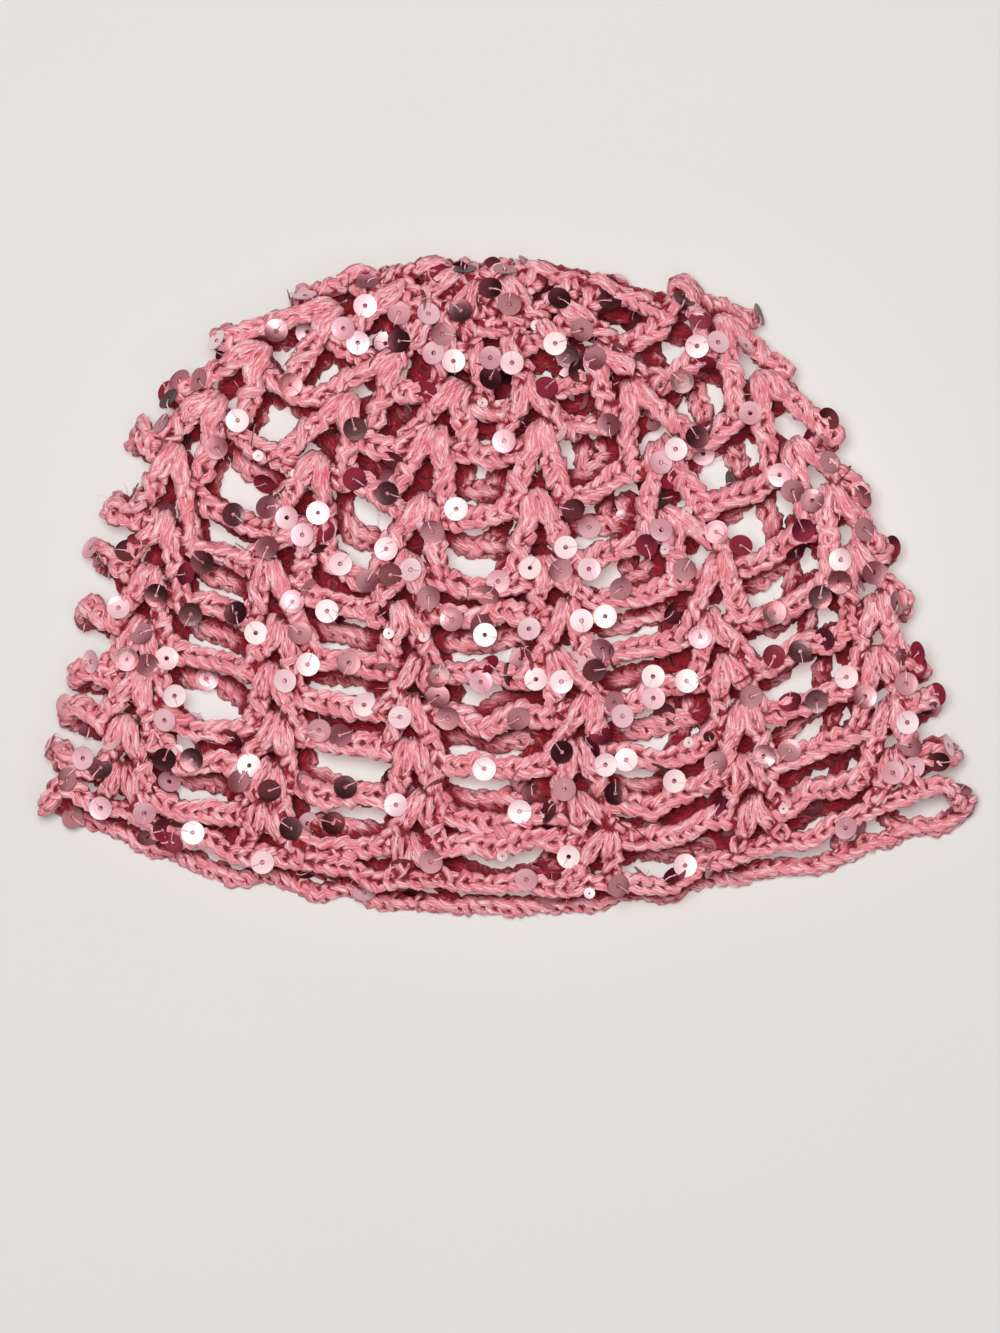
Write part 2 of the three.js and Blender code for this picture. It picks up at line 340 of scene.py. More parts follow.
@dataclass(frozen=True)
class SequinFinish:
    """Thin glossy film, with a painted reflection whose tone drifts across each disc."""

    name: str
    # The painted reflection's two tones, between which the colour drifts across each disc
    bright: Colour
    dull: Colour
    roughness: float
    metallic: float
    alpha: float = 1.0
    # The colour of the shade painted in the hole and round the outer edge
    edge: Colour = linear(84, 36, 44)
    # Where the shade painted in the hole and round the outer edge begins and ends, from the middle, in
    # shares of the disc's width
    hole_edge: tuple[float, float] = (0.085, 0.115)
    outer_edge: tuple[float, float] = (0.475, 0.5)
    bump: float = 0.12
    bump_depth: float = 0.0002

    def material(self) -> bpy.types.Material:
        """Makes the film's material, drawn across each disc by its map.

        Returns:
            The material.
        """
        shader = Shader(self.name)
        place = shader.laid(DISC_MAP)
        across, up, _ = shader.split(place)
        grain = shader.noise(place, 6.0)
        # The painted reflection drifts across each disc, leaning differently from disc to disc
        tone = (across + shader.kept(SHADE) + grain * 0.25 + up * 0.1).between(0.55, 1.25)
        film = shader.mix(tone, self.bright, self.dull)
        off_x = across - 0.5
        off_y = up - 0.5
        reach = (off_x * off_x + off_y * off_y) ** 0.5
        # Shade painted into the hole and as a dark line round the outer edge
        hole = 1 - reach.between(*self.hole_edge)
        rim = reach.between(*self.outer_edge) * 0.55
        return shader.finish(
            {
                "Base Color": shader.mix(hole + rim, film, self.edge),
                "Roughness": self.roughness,
                "Metallic": self.metallic,
                "Alpha": self.alpha,
                "Coat Weight": 0.1,
                "Coat Roughness": 0.12,
                "Normal": shader.bump(grain, self.bump, self.bump_depth),
            }
        )


@dataclass(frozen=True)
class ThreadFinish:
    """Fine pale thread that holds the sequins."""

    name: str = "holding_thread"
    light: Colour = linear(244, 196, 202)
    dark: Colour = linear(222, 150, 160)
    fleck_scale: float = 900.0

    def material(self) -> bpy.types.Material:
        """Makes the thread's material.

        Returns:
            The material.
        """
        shader = Shader(self.name)
        flecks = shader.noise(shader.spot(), self.fleck_scale)
        colour = shader.mix(flecks, self.dark, self.light)
        return shader.finish({"Base Color": colour, "Roughness": 0.6})


class Film(Enum):
    """The looks that sequins of one pink film take as they catch the light, painted into their colour: the
    lamp's reflection, pale and mid pinks, the dark that tilted ones reflect, and the deep red of those in
    shade.
    """

    LAMP_REFLECTION = SequinFinish("film_lamp_reflection", linear(235, 210, 209), linear(222, 182, 187), 0.42, 0.05)
    BLUSH = SequinFinish("film_blush", linear(229, 183, 190), linear(206, 144, 154), 0.36, 0.14)
    ROSE = SequinFinish("film_rose", linear(196, 134, 141), linear(134, 64, 75), 0.33, 0.26, 0.82)
    SMOKE = SequinFinish("film_dark_reflection", linear(60, 15, 19), linear(122, 58, 63), 0.32, 0.5)
    WINE = SequinFinish("film_shaded", linear(150, 40, 62), linear(84, 16, 34), 0.28, 0.25, 0.94)


# One row for each round, from the crown's centre to the rim: the x and y of its left fold and of its right
# fold, and the low point of its upper and of its lower layer
ROUNDS: Array = np.array(
    [
        (-4.3, 80.5, -4.3, 80.5, 80.5, 80.5),
        (-19.3, 80.2, 9.6, 78.9, 72.1, 70.8),
        (-37.0, 77.6, 27.3, 76.4, 58.2, 55.7),
        (-52.1, 73.8, 45.1, 73.3, 46.8, 41.7),
        (-71.1, 63.8, 58.2, 64.5, 35.4, 26.6),
        (-83.0, 49.8, 69.6, 51.9, 17.7, 11.9),
        (-92.6, 38.0, 81.7, 38.0, 1.8, 0.0),
        (-98.2, 20.7, 89.6, 24.0, -8.9, -11.9),
        (-102.2, 7.1, 95.7, 10.1, -22.0, -25.3),
        (-105.3, -6.3, 100.0, -3.8, -32.4, -36.7),
        (-107.3, -19.0, 103.8, -16.4, -43.8, -49.8),
        (-109.8, -30.9, 107.8, -27.8, -56.2, -60.7),
        (-112.4, -42.5, 112.1, -40.5, -65.8, -70.1),
        (-114.1, -51.9, 114.0, -50.6, -74.1, -79.9),
    ]
)
# The turn of each rib in degrees, at the crown's edge and at the rim
RIBS: Array = np.array(
    [
        (28, 57, 78, 101, 127, 166, 211, 239, 261, 281, 302, 328),
        (32, 58, 79, 102, 124, 149, 217, 242, 262, 281, 301, 325),
    ]
)


@dataclass
class CapChart:
    """Where the rounds and ribs of the work lie on the cap's folded wall."""

    wall: float = 4.4
    loft: float = 12.6
    fold: float = 6.5
    crown_edge: int = 3
    slip: float = 4.2
    # Rounds over which the slip sets in from the crown, and dies out towards the rim
    slip_rounds: tuple[float, float] = (4.0, 2.0)
    # How far the rim opens beside a fold: the upper layer, and the lower one at the left and right
    gape: tuple[float, float, float] = (2.2, 2.4, 4.4)
    rounds: Array = field(default_factory=ROUNDS.copy)
    ribs: Array = field(default_factory=RIBS.copy)

    @property
    def halfway(self) -> float:
        """The height halfway between the two layers."""
        return (self.wall + self.loft) / 2

    def rib_turns(self, rounds: float) -> Array:
        """Each rib's turn on a round."""
        share = max(rounds - self.crown_edge, 0) / (RIM_ROUND - self.crown_edge)
        return np.radians(self.ribs[0] * (1 - share) + self.ribs[1] * share)

    def row(self, rounds: Array) -> Array:
        """Looks rounds up in the chart.

        Args:
            rounds: The rounds, which needn't be whole.

        Returns:
            The chart's row for each.
        """
        at = np.clip(rounds, 0, RIM_ROUND)
        above = np.minimum(np.floor(at).astype(int), RIM_ROUND - 1)
        share = (rounds - above)[:, None]
        return self.rounds[above] * (1 - share) + self.rounds[above + 1] * share

    def plan(self, rounds: Array, turns: Array) -> Array:
        """Finds places on the wall, seen from above.

        Args:
            rounds: Their rounds.
            turns: Their turns from the left fold.

        Returns:
            Their x and y.
        """
        left_x, left_y, right_x, right_y, upper, lower = self.row(rounds).T
        across = (1 - np.cos(turns)) / 2
        low = np.where(np.sin(turns) >= 0, upper, lower)
        drop = (low - (left_y + right_y) / 2) * np.sin(np.pi * across)
        y = left_y + (right_y - left_y) * across + drop
        y += self.gape_at(rounds, turns) - self.slip_at(rounds, turns)
        return np.stack([left_x + (right_x - left_x) * across, y], 1)

    def slip_at(self, rounds: Array, turns: Array) -> Array:
        """Finds how far the lower layer lies towards the rim of where it would hang by itself.

        Args:
            rounds: The rounds of the places.
            turns: Their turns from the left fold.

        Returns:
            The way for each place, which is 0 on the upper layer.
        """
        below, above = self.slip_rounds
        held = np.clip(np.minimum(rounds / below, (RIM_ROUND - rounds) / above), 0, 1)
        slip = self.slip * held * np.sin(np.pi * np.cos(turns)) ** 2
        return np.where(np.sin(turns) < 0, slip, 0)

    def gape_at(self, rounds: Array, turns: Array) -> Array:
        """Finds how far the rim's two layers part beside the folds.

        Args:
            rounds: The rounds of the places.
            turns: Their turns from the left fold.

        Returns:
            The way up the cap for each place on the upper layer, and down it on the lower one.
        """
        inward = np.abs(np.sin(turns))
        reach = np.minimum(1, 3 * inward) * (1 - smooth_step((inward - 0.5) / 0.45))
        upper, left, right = self.gape
        lower = np.where(np.cos(turns) > 0, left, right)
        gape = np.where(np.sin(turns) >= 0, upper, -lower)
        return gape * reach * np.maximum(0, rounds - RIM_ROUND + 1)

    def to_fold(self, places: Array) -> Array:
        """Finds the way to the nearest fold.

        Args:
            places: Places in plan.

        Returns:
            The way from each, in plan.
        """
        line = np.vstack([self.rounds[:0:-1, :2], self.rounds[:, 2:4]])
        start = line[:-1]
        step = np.diff(line, axis=0)
        offset = places[:, None] - start
        share = np.clip((offset * step).sum(2) / (step**2).sum(1), 0, 1)
        ways = share[:, :, None] * step - offset
        nearest = np.linalg.norm(ways, axis=2).argmin(1)
        return ways[np.arange(len(places)), nearest]

    def middle(self, rounds: Array | float, turns: Array) -> Array:
        """Finds places in the middle of the wall's thickness.

        Args:
            rounds: Their rounds, or the round that they share.
            turns: Their turns from the left fold.

        Returns:
            Their x, y and height.
        """
        rounds = np.atleast_1d(np.asarray(rounds, float))
        rounds, turns = np.broadcast_arrays(rounds, np.asarray(turns, float))
        places = self.plan(rounds, turns)
        inset = np.linalg.norm(self.to_fold(places), axis=1)
        reach = 1 - np.minimum(1, inset / self.fold)
        rise = self.loft / 2 * np.sqrt(1 - reach**2)
        side = np.where(np.sin(turns) >= 0, 1, -1)
        return np.column_stack([places, self.halfway + side * rise])

    def frame(self, rounds: float, turns: Array) -> tuple[Array, Array, Array, Array]:
        """Finds the wall's place and directions along one round.

        Args:
            rounds: The round.
            turns: Turns from the left fold.

        Returns:
            Places, and unit directions along the round, down the cap and out of it.
        """
        gap = 0.05
        swing = 0.02
        place = self.middle(rounds, turns)
        along = unit(self.middle(rounds, turns + swing) - self.middle(rounds, turns - swing))
        down = unit(self.middle(rounds + gap, turns) - self.middle(max(rounds - gap, 0), turns))
        out = unit(np.cross(down, along))
        return place, along, unit(np.cross(along, out)), out


@dataclass
class RoundPath:
    """The middle line of one round of chain, hanging a little between the ribs."""

    chart: CapChart
    rounds: float
    seed: int
    sag: float = 1.2
    wander: float = 1.8
    finger: float = 1.8
    stations: int = 1441

    def __post_init__(self) -> None:
        """Lays the line on the chart and lets it hang."""
        rng = np.random.default_rng(SEED + self.seed)
        turns = np.linspace(0, FULL_TURN, self.stations)
        place, along, down, out = self.chart.frame(self.rounds, turns)
        ribs = np.sort(self.chart.rib_turns(self.rounds))
        edges = np.concatenate([[ribs[-1] - FULL_TURN], ribs, [ribs[0] + FULL_TURN]])
        arc = np.searchsorted(edges, turns, side="right") - 1
        share = (turns - edges[arc]) / (edges[arc + 1] - edges[arc])
        hang = np.sin(np.pi * share)
        depth = rng.normal(0.35, 1.15, len(ribs) + 1)
        depth[-1] = depth[0]
        lift = rng.uniform(-0.9, 0.35, len(ribs) + 1)
        lift[-1] = lift[0]
        loose = min(1.0, self.rounds / 4)
        inward = np.abs(np.sin(turns))
        spread = np.where(np.sin(turns) >= 0, -1, 1) * np.minimum(1, inward * 3)
        near_fold = (1 - smooth_step(inward * 1.6)) * self.finger
        reached = run_length(place)
        shift = hang * depth[arc] * self.sag + spread * near_fold
        shift += slow_noise(rng, reached, 9) * self.wander * (0.3 + hang)
        raised = hang * lift[arc] + slow_noise(rng, reached, 12) * 0.35
        place = place + loose * (down * shift[:, None] + out * raised[:, None])
        self.rows = np.column_stack([place, along, down, out])
        self.turns = turns
        self.reached = run_length(place)
        self.length = float(self.reached[-1])

    def rib_station(self, rib: int) -> float:
        """How far along the line a rib is."""
        turn = self.chart.rib_turns(self.rounds)[rib]
        return float(np.interp(turn, self.turns, self.reached))

    def at(self, lengths: Array | float) -> tuple[Array, ...]:
        """Finds places on the line.

        Args:
            lengths: How far along the line they are. It is closed, so they may run past its end.

        Returns:
            The places, and the directions along the round, down the cap and out of it.
        """
        lengths = np.mod(np.atleast_1d(lengths), self.length)
        found = np.stack([np.interp(lengths, self.reached, column) for column in self.rows.T], 1)
        return tuple(found[:, i : i + 3] for i in range(0, 12, 3))


@dataclass
class Spinner:
    """Spins plied yarn along middle lines, and gathers it as one piece."""

    name: str
    plies: int = 4
    valley: float = 0.82
    step: float = 1.28
    twist_length: float = 26.0
    map_length: float = 8.0
    unevenness: float = 0.07
    end_taper: float = 0.45
    floor: float = 0.04
    spun: float = 0.0
    parts: list = field(default_factory=list)

    def add(self, controls: Array, radius: float, rng: Rng) -> None:
        """Spins one strand.

        Args:
            controls: Points that its middle line passes through.
            radius: The strand's radius.
            rng: The source of chance.
        """
        line = smooth_line(controls, self.step)
        sides = 2 * self.plies
        tangent = unit(np.gradient(line, axis=0))
        normal = np.empty_like(line)
        aim = np.cross(tangent[0], (0.31, 0.52, 0.79))
        for i, direction in enumerate(tangent):
            aim = aim - direction * (aim @ direction)
            aim = aim / math.sqrt(aim @ aim)
            normal[i] = aim
        side = np.cross(tangent, normal)
        reached = run_length(line)
        self.spun += reached[-1]
        start = rng.uniform(0, 1)
        roll = FULL_TURN * (reached / self.twist_length + start)
        angle = np.arange(sides) * FULL_TURN / sides + roll[:, None]
        thick = radius * (1 + self.unevenness * slow_noise(rng, reached, 5))
        thick[[0, -1]] *= self.end_taper
        shape = np.where(np.arange(sides) % 2, self.valley, 1.0)
        arm = (thick[:, None] * shape)[:, :, None]
        turned = np.cos(angle)[:, :, None] * normal[:, None] + np.sin(angle)[:, :, None] * side[:, None]
        points = line[:, None] + arm * turned
        points[..., 2] = np.maximum(points[..., 2], self.floor)
        self.parts.append((points, reached / self.map_length + start * 7))

    def arrays(self) -> tuple[Array, Array, Array, Array, Array]:
        """Gathers the strands as one mesh.

        Returns:
            Its vertices, the vertex of each face corner, where each face starts, the place of each corner
            on the map, and which vertices lie between two plies.
        """
        sides = 2 * self.plies
        points, corners, sizes, places = [], [], [], []
        base = 0
        ring = np.arange(sides)
        for strand, along in self.parts:
            count = len(strand)
            rows = base + np.arange(count - 1)[:, None] * sides
            here = rows + ring
            after = rows + (ring + 1) % sides
            quads = np.stack([here, after, after + sides, here + sides], 2)
            u = np.broadcast_to(ring / sides, (count - 1, sides))
            v = along[:-1, None] + 0 * u
            w = along[1:, None] + 0 * u
            maps = np.stack([u, v, u + 1 / sides, v, u + 1 / sides, w, u, w], 2)
            points.append(strand.reshape(-1, 3))
            corners += [quads.ravel(), base + ring[::-1], base + (count - 1) * sides + ring]
            caps = np.zeros((2 * sides, 2)) + (0.5, along[0])
            places += [maps.reshape(-1, 2), caps]
            sizes += [np.full(quads.shape[0] * sides, 4), np.full(2, sides)]
            base += count * sides
        starts = np.append(0, np.cumsum(np.concatenate(sizes))[:-1])
        valleys = np.arange(base) % 2 == 1
        return np.vstack(points), np.concatenate(corners), starts, np.vstack(places), valleys

    def build(self, material: bpy.types.Material, thicket: "Thicket | None" = None) -> Piece:
        """Makes one object of the strands, with a crease between the plies.

        Args:
            material: What they are made of.
            thicket: What shelters them, for the shade painted into their colour.

        Returns:
            The object.
        """
        points, corners, starts, places, valleys = self.arrays()
        piece = make_piece(self.name, (points, corners, starts), material)
        mesh = piece.data
        keep_map(mesh, STRAND_MAP, places)
        ends = np.empty(2 * len(mesh.edges), np.int32)
        mesh.edges.foreach_get("vertices", ends)
        keep_values(mesh, "sharp_edge", "BOOLEAN", "EDGE", valleys[ends.reshape(-1, 2)].all(1))
        if thicket is not None:
            painted_shade = thicket.painted_shade([part[0] for part in self.parts])
            keep_values(mesh, PAINTED_SHADE_NAME, "FLOAT", "POINT", painted_shade.astype(np.float32))
        return piece


@dataclass
class Thicket:
    """How much yarn there is around each spot, for the shade painted into its crevices and under the yarn
    above.
    """

    skins: list
    cell: float = 0.8
    margin: float = 8.0
    # How much yarn each point of a skin stands for, in cubic millimetres
    share: float = 0.8
    # How far out from a strand the yarn beside it is felt, and how far above it the yarn over it
    reach: float = 1.2
    above: float = 2.4
    # From where and over how much more yarn the painted shade deepens: for yarn at the side, and for yarn
    # above
    crowding: tuple[float, float] = (0.36, 0.44)
    cover: tuple[float, float] = (0.3, 2.6)

    def __post_init__(self) -> None:
        """Gathers the yarn into cells and spreads it over their neighbours."""
        points = np.vstack([self.inward(skin, 0.6).reshape(-1, 3) for skin in self.skins])
        self.low = points.min(0) - self.margin
        size = np.ceil((points.max(0) + self.margin - self.low) / self.cell).astype(int)
        at = np.round((points - self.low) / self.cell).astype(int)
        flat = np.ravel_multi_index(at.T, size + 1)
        counts = np.bincount(flat, minlength=int(np.prod(size + 1))).reshape(size + 1)
        self.near = self.spread(counts * (self.share / self.cell**3), 1, (0, 1, 2))
        wide = self.spread(self.near, 2, (0, 1))
        self.over = np.cumsum(wide[:, :, ::-1], axis=2)[:, :, ::-1] * self.cell

    def inward(self, skin: Array, share: float) -> Array:
        """The skin of a strand drawn towards its middle."""
        middle = skin.mean(1, keepdims=True)
        return middle + (skin - middle) * share

    def spread(self, cells: Array, way: int, axes: tuple[int, ...]) -> Array:
        """Spreads what the cells hold over their neighbours, three times.

        Args:
            cells: What each cell holds.
            way: How many cells off the neighbours are.
            axes: The axes to spread along.

        Returns:
            What each cell holds then.
        """
        for axis in axes * 3:
            cells = (cells + np.roll(cells, way, axis) + np.roll(cells, -way, axis)) / 3
        return cells

    def look_up(self, cells: Array, points: Array) -> Array:
        """Reads the cells at points between their middles.

        Args:
            cells: What each cell holds.
            points: Where it is wanted.

        Returns:
            What they hold at each point.
        """
        at = (points - self.low) / self.cell
        base = np.floor(at).astype(int)
        part = at - base
        found = np.zeros(len(points))
        for corner in np.ndindex(2, 2, 2):
            weight = np.where(corner, part, 1 - part).prod(1)
            found += weight * cells[tuple((base + corner).T)]
        return found

    def painted_shade(self, skins: list[Array]) -> Array:
        """Finds how much shade to paint on strands, from how sheltered they are.

        Args:
            skins: Their rings of points.

        Returns:
            For each point, the painted shade, from 0 in the open to 1 deep between yarns.
        """
        points = np.vstack([skin.reshape(-1, 3) for skin in skins])
        middles = np.vstack([self.inward(skin, 0).reshape(-1, 3) for skin in skins])
        outward = unit(points - middles)
        crowded = self.look_up(self.near, points + outward * self.reach)
        covered = self.look_up(self.over, points + np.array([0, 0, self.above]))
        # Painted shade: deep in crevices between strands, and dim under yarn above, most on sides that face
        # up into the cap
        deep = smooth_step((crowded - self.crowding[0]) / self.crowding[1])
        inside = smooth_step((outward[:, 2] + 0.45) / 0.9)
        shade_paint = smooth_step((covered - self.cover[0]) / self.cover[1]) * (0.12 + 0.72 * inside)
        return 1 - (1 - deep) * (1 - shade_paint)


def make_piece(name: str, faces: tuple[Array, Array, Array], material: bpy.types.Material) -> Piece:
    """Makes an object that rides on the cap's body.

    Args:
        name: The piece's name.
        faces: Its vertices in millimetres, the vertex of each face corner, and where each face starts.
        material: What it is made of.

    Returns:
        The object.
    """
    points, corners, starts = faces
    mesh = bpy.data.meshes.new(name)
    mesh.vertices.add(len(points))
    mesh.vertices.foreach_set("co", (points * METRES).astype(np.float32).ravel())
    mesh.loops.add(len(corners))
    mesh.loops.foreach_set("vertex_index", corners.astype(np.int32))
    mesh.polygons.add(len(starts))
    mesh.polygons.foreach_set("loop_start", starts.astype(np.int32))
    mesh.update(calc_edges=True)
    mesh.materials.append(material)
    piece = bpy.data.objects.new(name, mesh)
    bpy.context.scene.collection.objects.link(piece)
    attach(piece, BODY)
    return piece


def keep_map(mesh: bpy.types.Mesh, name: str, places: Array) -> None:
    """Gives a mesh a map, with a place for each face corner."""
    mesh.uv_layers.new(name=name).uv.foreach_set("vector", places.astype(np.float32).ravel())


def keep_values(mesh: bpy.types.Mesh, name: str, kind: str, domain: str, values: Array) -> None:
    """Keeps a value of a kind with each point or edge of a mesh."""
    mesh.attributes.new(name, kind, domain).data.foreach_set("value", values)


def report(piece: Piece) -> None:
    """Reports a piece and how many triangles it has."""
    triangles = len(piece.data.loops) - 2 * len(piece.data.polygons)
    log.info("%s: %d triangles", piece.name, triangles)


# One link of chain: how far along, across and out, in shares of the pitch
LINK: Array = np.array(
    [
        (0.0, -0.10, -0.25),
        (0.14, -0.11, 0.04),
        (0.40, -0.31, 0.32),
        (0.80, -0.44, 0.22),
        (1.12, -0.31, 0.0),
        (1.30, 0.0, -0.08),
        (1.12, 0.31, 0.0),
        (0.80, 0.44, 0.22),
        (0.40, 0.31, 0.32),
        (0.14, 0.11, 0.04),
        (0.0, 0.10, -0.25),
        (0.30, 0.12, -0.42),
        (0.50, 0.0, -0.45),
        (0.85, -0.10, -0.40),
    ]
)


@dataclass
class ChainRound:
    """One round of chain: links of yarn, each drawn through the one before."""

    path: RoundPath
    pitch: float = 3.2
    width: float = 1.36
    height: float = 1.1
    radius: float = 1.64
    roll: float = 0.8
    loose: float = 0.26

    def spin(self, spinner: Spinner, rng: Rng) -> None:
        """Works the round with one long yarn.

        Args:
            spinner: What gathers the yarn.
            rng: The source of chance.
        """
        count = max(6, round(self.path.length / self.pitch))
        pitch = self.path.length / count
        number = np.arange(count)
        middles = number * pitch
        roll = slow_noise(rng, middles, 6 * pitch) * self.roll
        roll += rng.normal(0, 0.1, count)
        width = self.width * rng.uniform(0.87, 1.13, count)
        height = self.height * rng.uniform(0.85, 1.2, count)
        lean = rng.normal(0, 0.07, count)
        along = (number[:, None] + LINK[:, 0]) * pitch
        across = (LINK[:, 1] * width[:, None] + lean[:, None]) * self.pitch
        rise = LINK[:, 2] * height[:, None] * self.pitch
        turn = np.repeat(roll, len(LINK)).reshape(count, -1)
        start = self.path.rib_station(9)
        place, _, down, out = self.path.at((along + start).ravel())
        sideways = (across * np.cos(turn) - rise * np.sin(turn)).ravel()[:, None]
        outward = (across * np.sin(turn) + rise * np.cos(turn)).ravel()[:, None]
        controls = place + down * sideways + out * outward
        controls += rng.normal(0, self.loose, controls.shape)
        spinner.add(controls, self.radius, rng)


@dataclass
class RibStitch:
    """The posts that hang from one round at a rib and stand on the next."""

    above: RoundPath
    below: RoundPath
    high: float
    low: float
    legs: int = 2
    strands: int = 3
    radius: float = 1.33
    foot: float = 5.3
    head: float = 0.7
    strand_gap: float = 1.5
    pitch: float = 3.0
    width: float = 1.28
    # The drop over which the yarn has its plain radius, and how much thicker it gets at most
    usual_drop: float = 11.0
    stoutest: float = 1.2

    def spin(self, spinner: Spinner, rng: Rng) -> list[Array]:
        """Works the posts.

        Args:
            spinner: What gathers the yarn.
            rng: The source of chance.

        Returns:
            The middle line of each leg.
        """
        self.start = [part[0] for part in self.above.at(self.high)]
        self.end = [part[0] for part in self.below.at(self.low)]
        self.drop = float(np.linalg.norm(self.end[0] - self.start[0]))
        self.stout = min(self.stoutest, math.sqrt(self.drop / self.usual_drop))
        lines = []
        sides = (-1, 1) if self.legs == 2 else (0,)
        shift = rng.normal(0, 0.5)
        for side in sides:
            foot = side * self.foot * rng.uniform(0.78, 1.22)
            for strand in range(self.strands):
                line = self.strand_line(side, strand, foot, shift, rng)
                self.spin_one(spinner, line, rng)
            self.spin_one(spinner, self.leg_line(side, foot, rng), rng)
            self.spin_one(spinner, self.wrap_line(side, foot, rng), rng)
            shares = np.linspace(0.1, 0.95, 8)
            lines.append(np.stack([self.point(f, self.axis(f, side, foot), 0.6) for f in shares]))
        return lines

    def spin_one(self, spinner: Spinner, controls: Array, rng: Rng) -> None:
        """Spins one strand of a post."""
        thick = self.radius * self.stout * rng.uniform(0.86, 1.12)
        spinner.add(controls, thick, rng)

    def axis(self, share: float, side: int, foot: float) -> float:
        """How far to the side a leg's middle is, this share of the way down."""
        hold = side * (self.head + self.strand_gap)
        return hold + (foot - hold) * min(1.0, max(0.0, share * 1.1)) ** 1.15

    def point(self, share: float, across: float, out: float) -> Array:
        """Finds a control point.

        Args:
            share: Its share of the way down.
            across: How far it is to the side of the rib.
            out: How far it is out of the wall.

        Returns:
            Its place.
        """
        start = self.start
        end = self.end
        near = 1 - share
        place = start[0] * near + end[0] * share
        place = place + unit(start[1] * near + end[1] * share) * across
        return place + unit(start[3] * near + end[3] * share) * out

    def strand_line(self, side: int, strand: int, foot: float, shift: float, rng: Rng) -> Array:
        """Lays out one strand of the gather, which clasps the round above.

        Args:
            side: -1 for the left leg, 1 for the right, 0 for a single post.
            strand: The strand's number in its leg.
            foot: Where the leg stands, across the rib.
            shift: How far across the gather is off the rib.
            rng: The source of chance.

        Returns:
            The points, from behind the round above to inside the head of the leg.
        """
        offset = (strand - (self.strands - 1) / 2) * self.strand_gap
        fan = side * (self.head + self.strand_gap) + offset + shift
        loose = rng.normal(0, 0.4, 6)
        neck = self.axis(0.4, side, foot) + 0.45 * offset
        rows = [
            (-1.0 + loose[0], 0.46 * fan, -2.3),
            (-3.5, 0.48 * fan, -1.1),
            (-3.9 + loose[1], 0.5 * fan + loose[2], 1.1),
            (-1.5, 0.74 * fan + loose[3], 3.1 + loose[2]),
            (1.3, fan + loose[4], 3.0 + loose[3]),
            (3.3 + loose[5], 0.6 * fan + 0.4 * neck, 2.0),
            (4.9, neck, 0.8),
            (5.9, neck, -1.0),
        ]
        return np.stack([self.point(v / self.drop, u, w) for v, u, w in rows])

    def leg_line(self, side: int, foot: float, rng: Rng) -> Array:
        """Lays out a leg, whose links follow each other like a short chain's.

        Args:
            side: -1 for the left leg, 1 for the right, 0 for a single post.
            foot: Where the leg stands, across the rib.
            rng: The source of chance.

        Returns:
            Its control points.
        """
        run = 0.84 * self.drop
        count = max(2, round(run / self.pitch))
        number = np.arange(count)[:, None]
        shares = 0.2 + (number + LINK[:, 0]) * (run / count / self.drop)
        if rng.random() < 0.5:
            shares = 1.2 - shares
        turn = rng.uniform(-0.6, 0.6) + number / count * rng.normal(0, 0.8)
        width = self.width * rng.uniform(0.85, 1.2, (count, 1))
        across = (LINK[:, 1] * width + rng.normal(0, 0.09, (count, 1))) * self.pitch
        rise = LINK[:, 2] * self.pitch * rng.uniform(0.9, 1.3, (count, 1))
        sideways = across * np.cos(turn) - rise * np.sin(turn)
        outward = across * np.sin(turn) + rise * np.cos(turn) + 1.5 - 1.2 * shares
        jitter = rng.normal(0, 0.22, (2, count, len(LINK)))
        offsets = (shares, sideways + jitter[0], outward + jitter[1])
        rows = zip(*(part.ravel() for part in offsets))
        return np.stack([self.point(v, self.axis(v, side, foot) + u, w) for v, u, w in rows])

    def wrap_line(self, side: int, foot: float, rng: Rng) -> Array:
        """Lays out the yarn over the neck of a leg.

        Args:
            side: -1 for the left leg, 1 for the right, 0 for a single post.
            foot: Where the leg stands, across the rib.
            rng: The source of chance.

        Returns:
            Its control points.
        """
        way = -side if side else 1
        low = rng.uniform(0.24, 0.46)
        span = rng.uniform(0.2, 0.36)
        reach = 1.9 * self.stout
        rows = [
            (-0.3, -0.8, -0.9),
            (0.0, -1.0, 0.5),
            (0.3, -0.55, 1.9),
            (0.62, 0.25, 2.2),
            (0.95, 0.85, 1.3),
            (1.2, 0.85, -0.6),
        ]
        controls = []
        for down, across, out in rows:
            share = low + span * down
            beside = self.axis(share, side, foot) + way * reach * across
            controls.append(self.point(share, beside, out + 0.8 - 0.6 * low))
        return np.stack(controls)


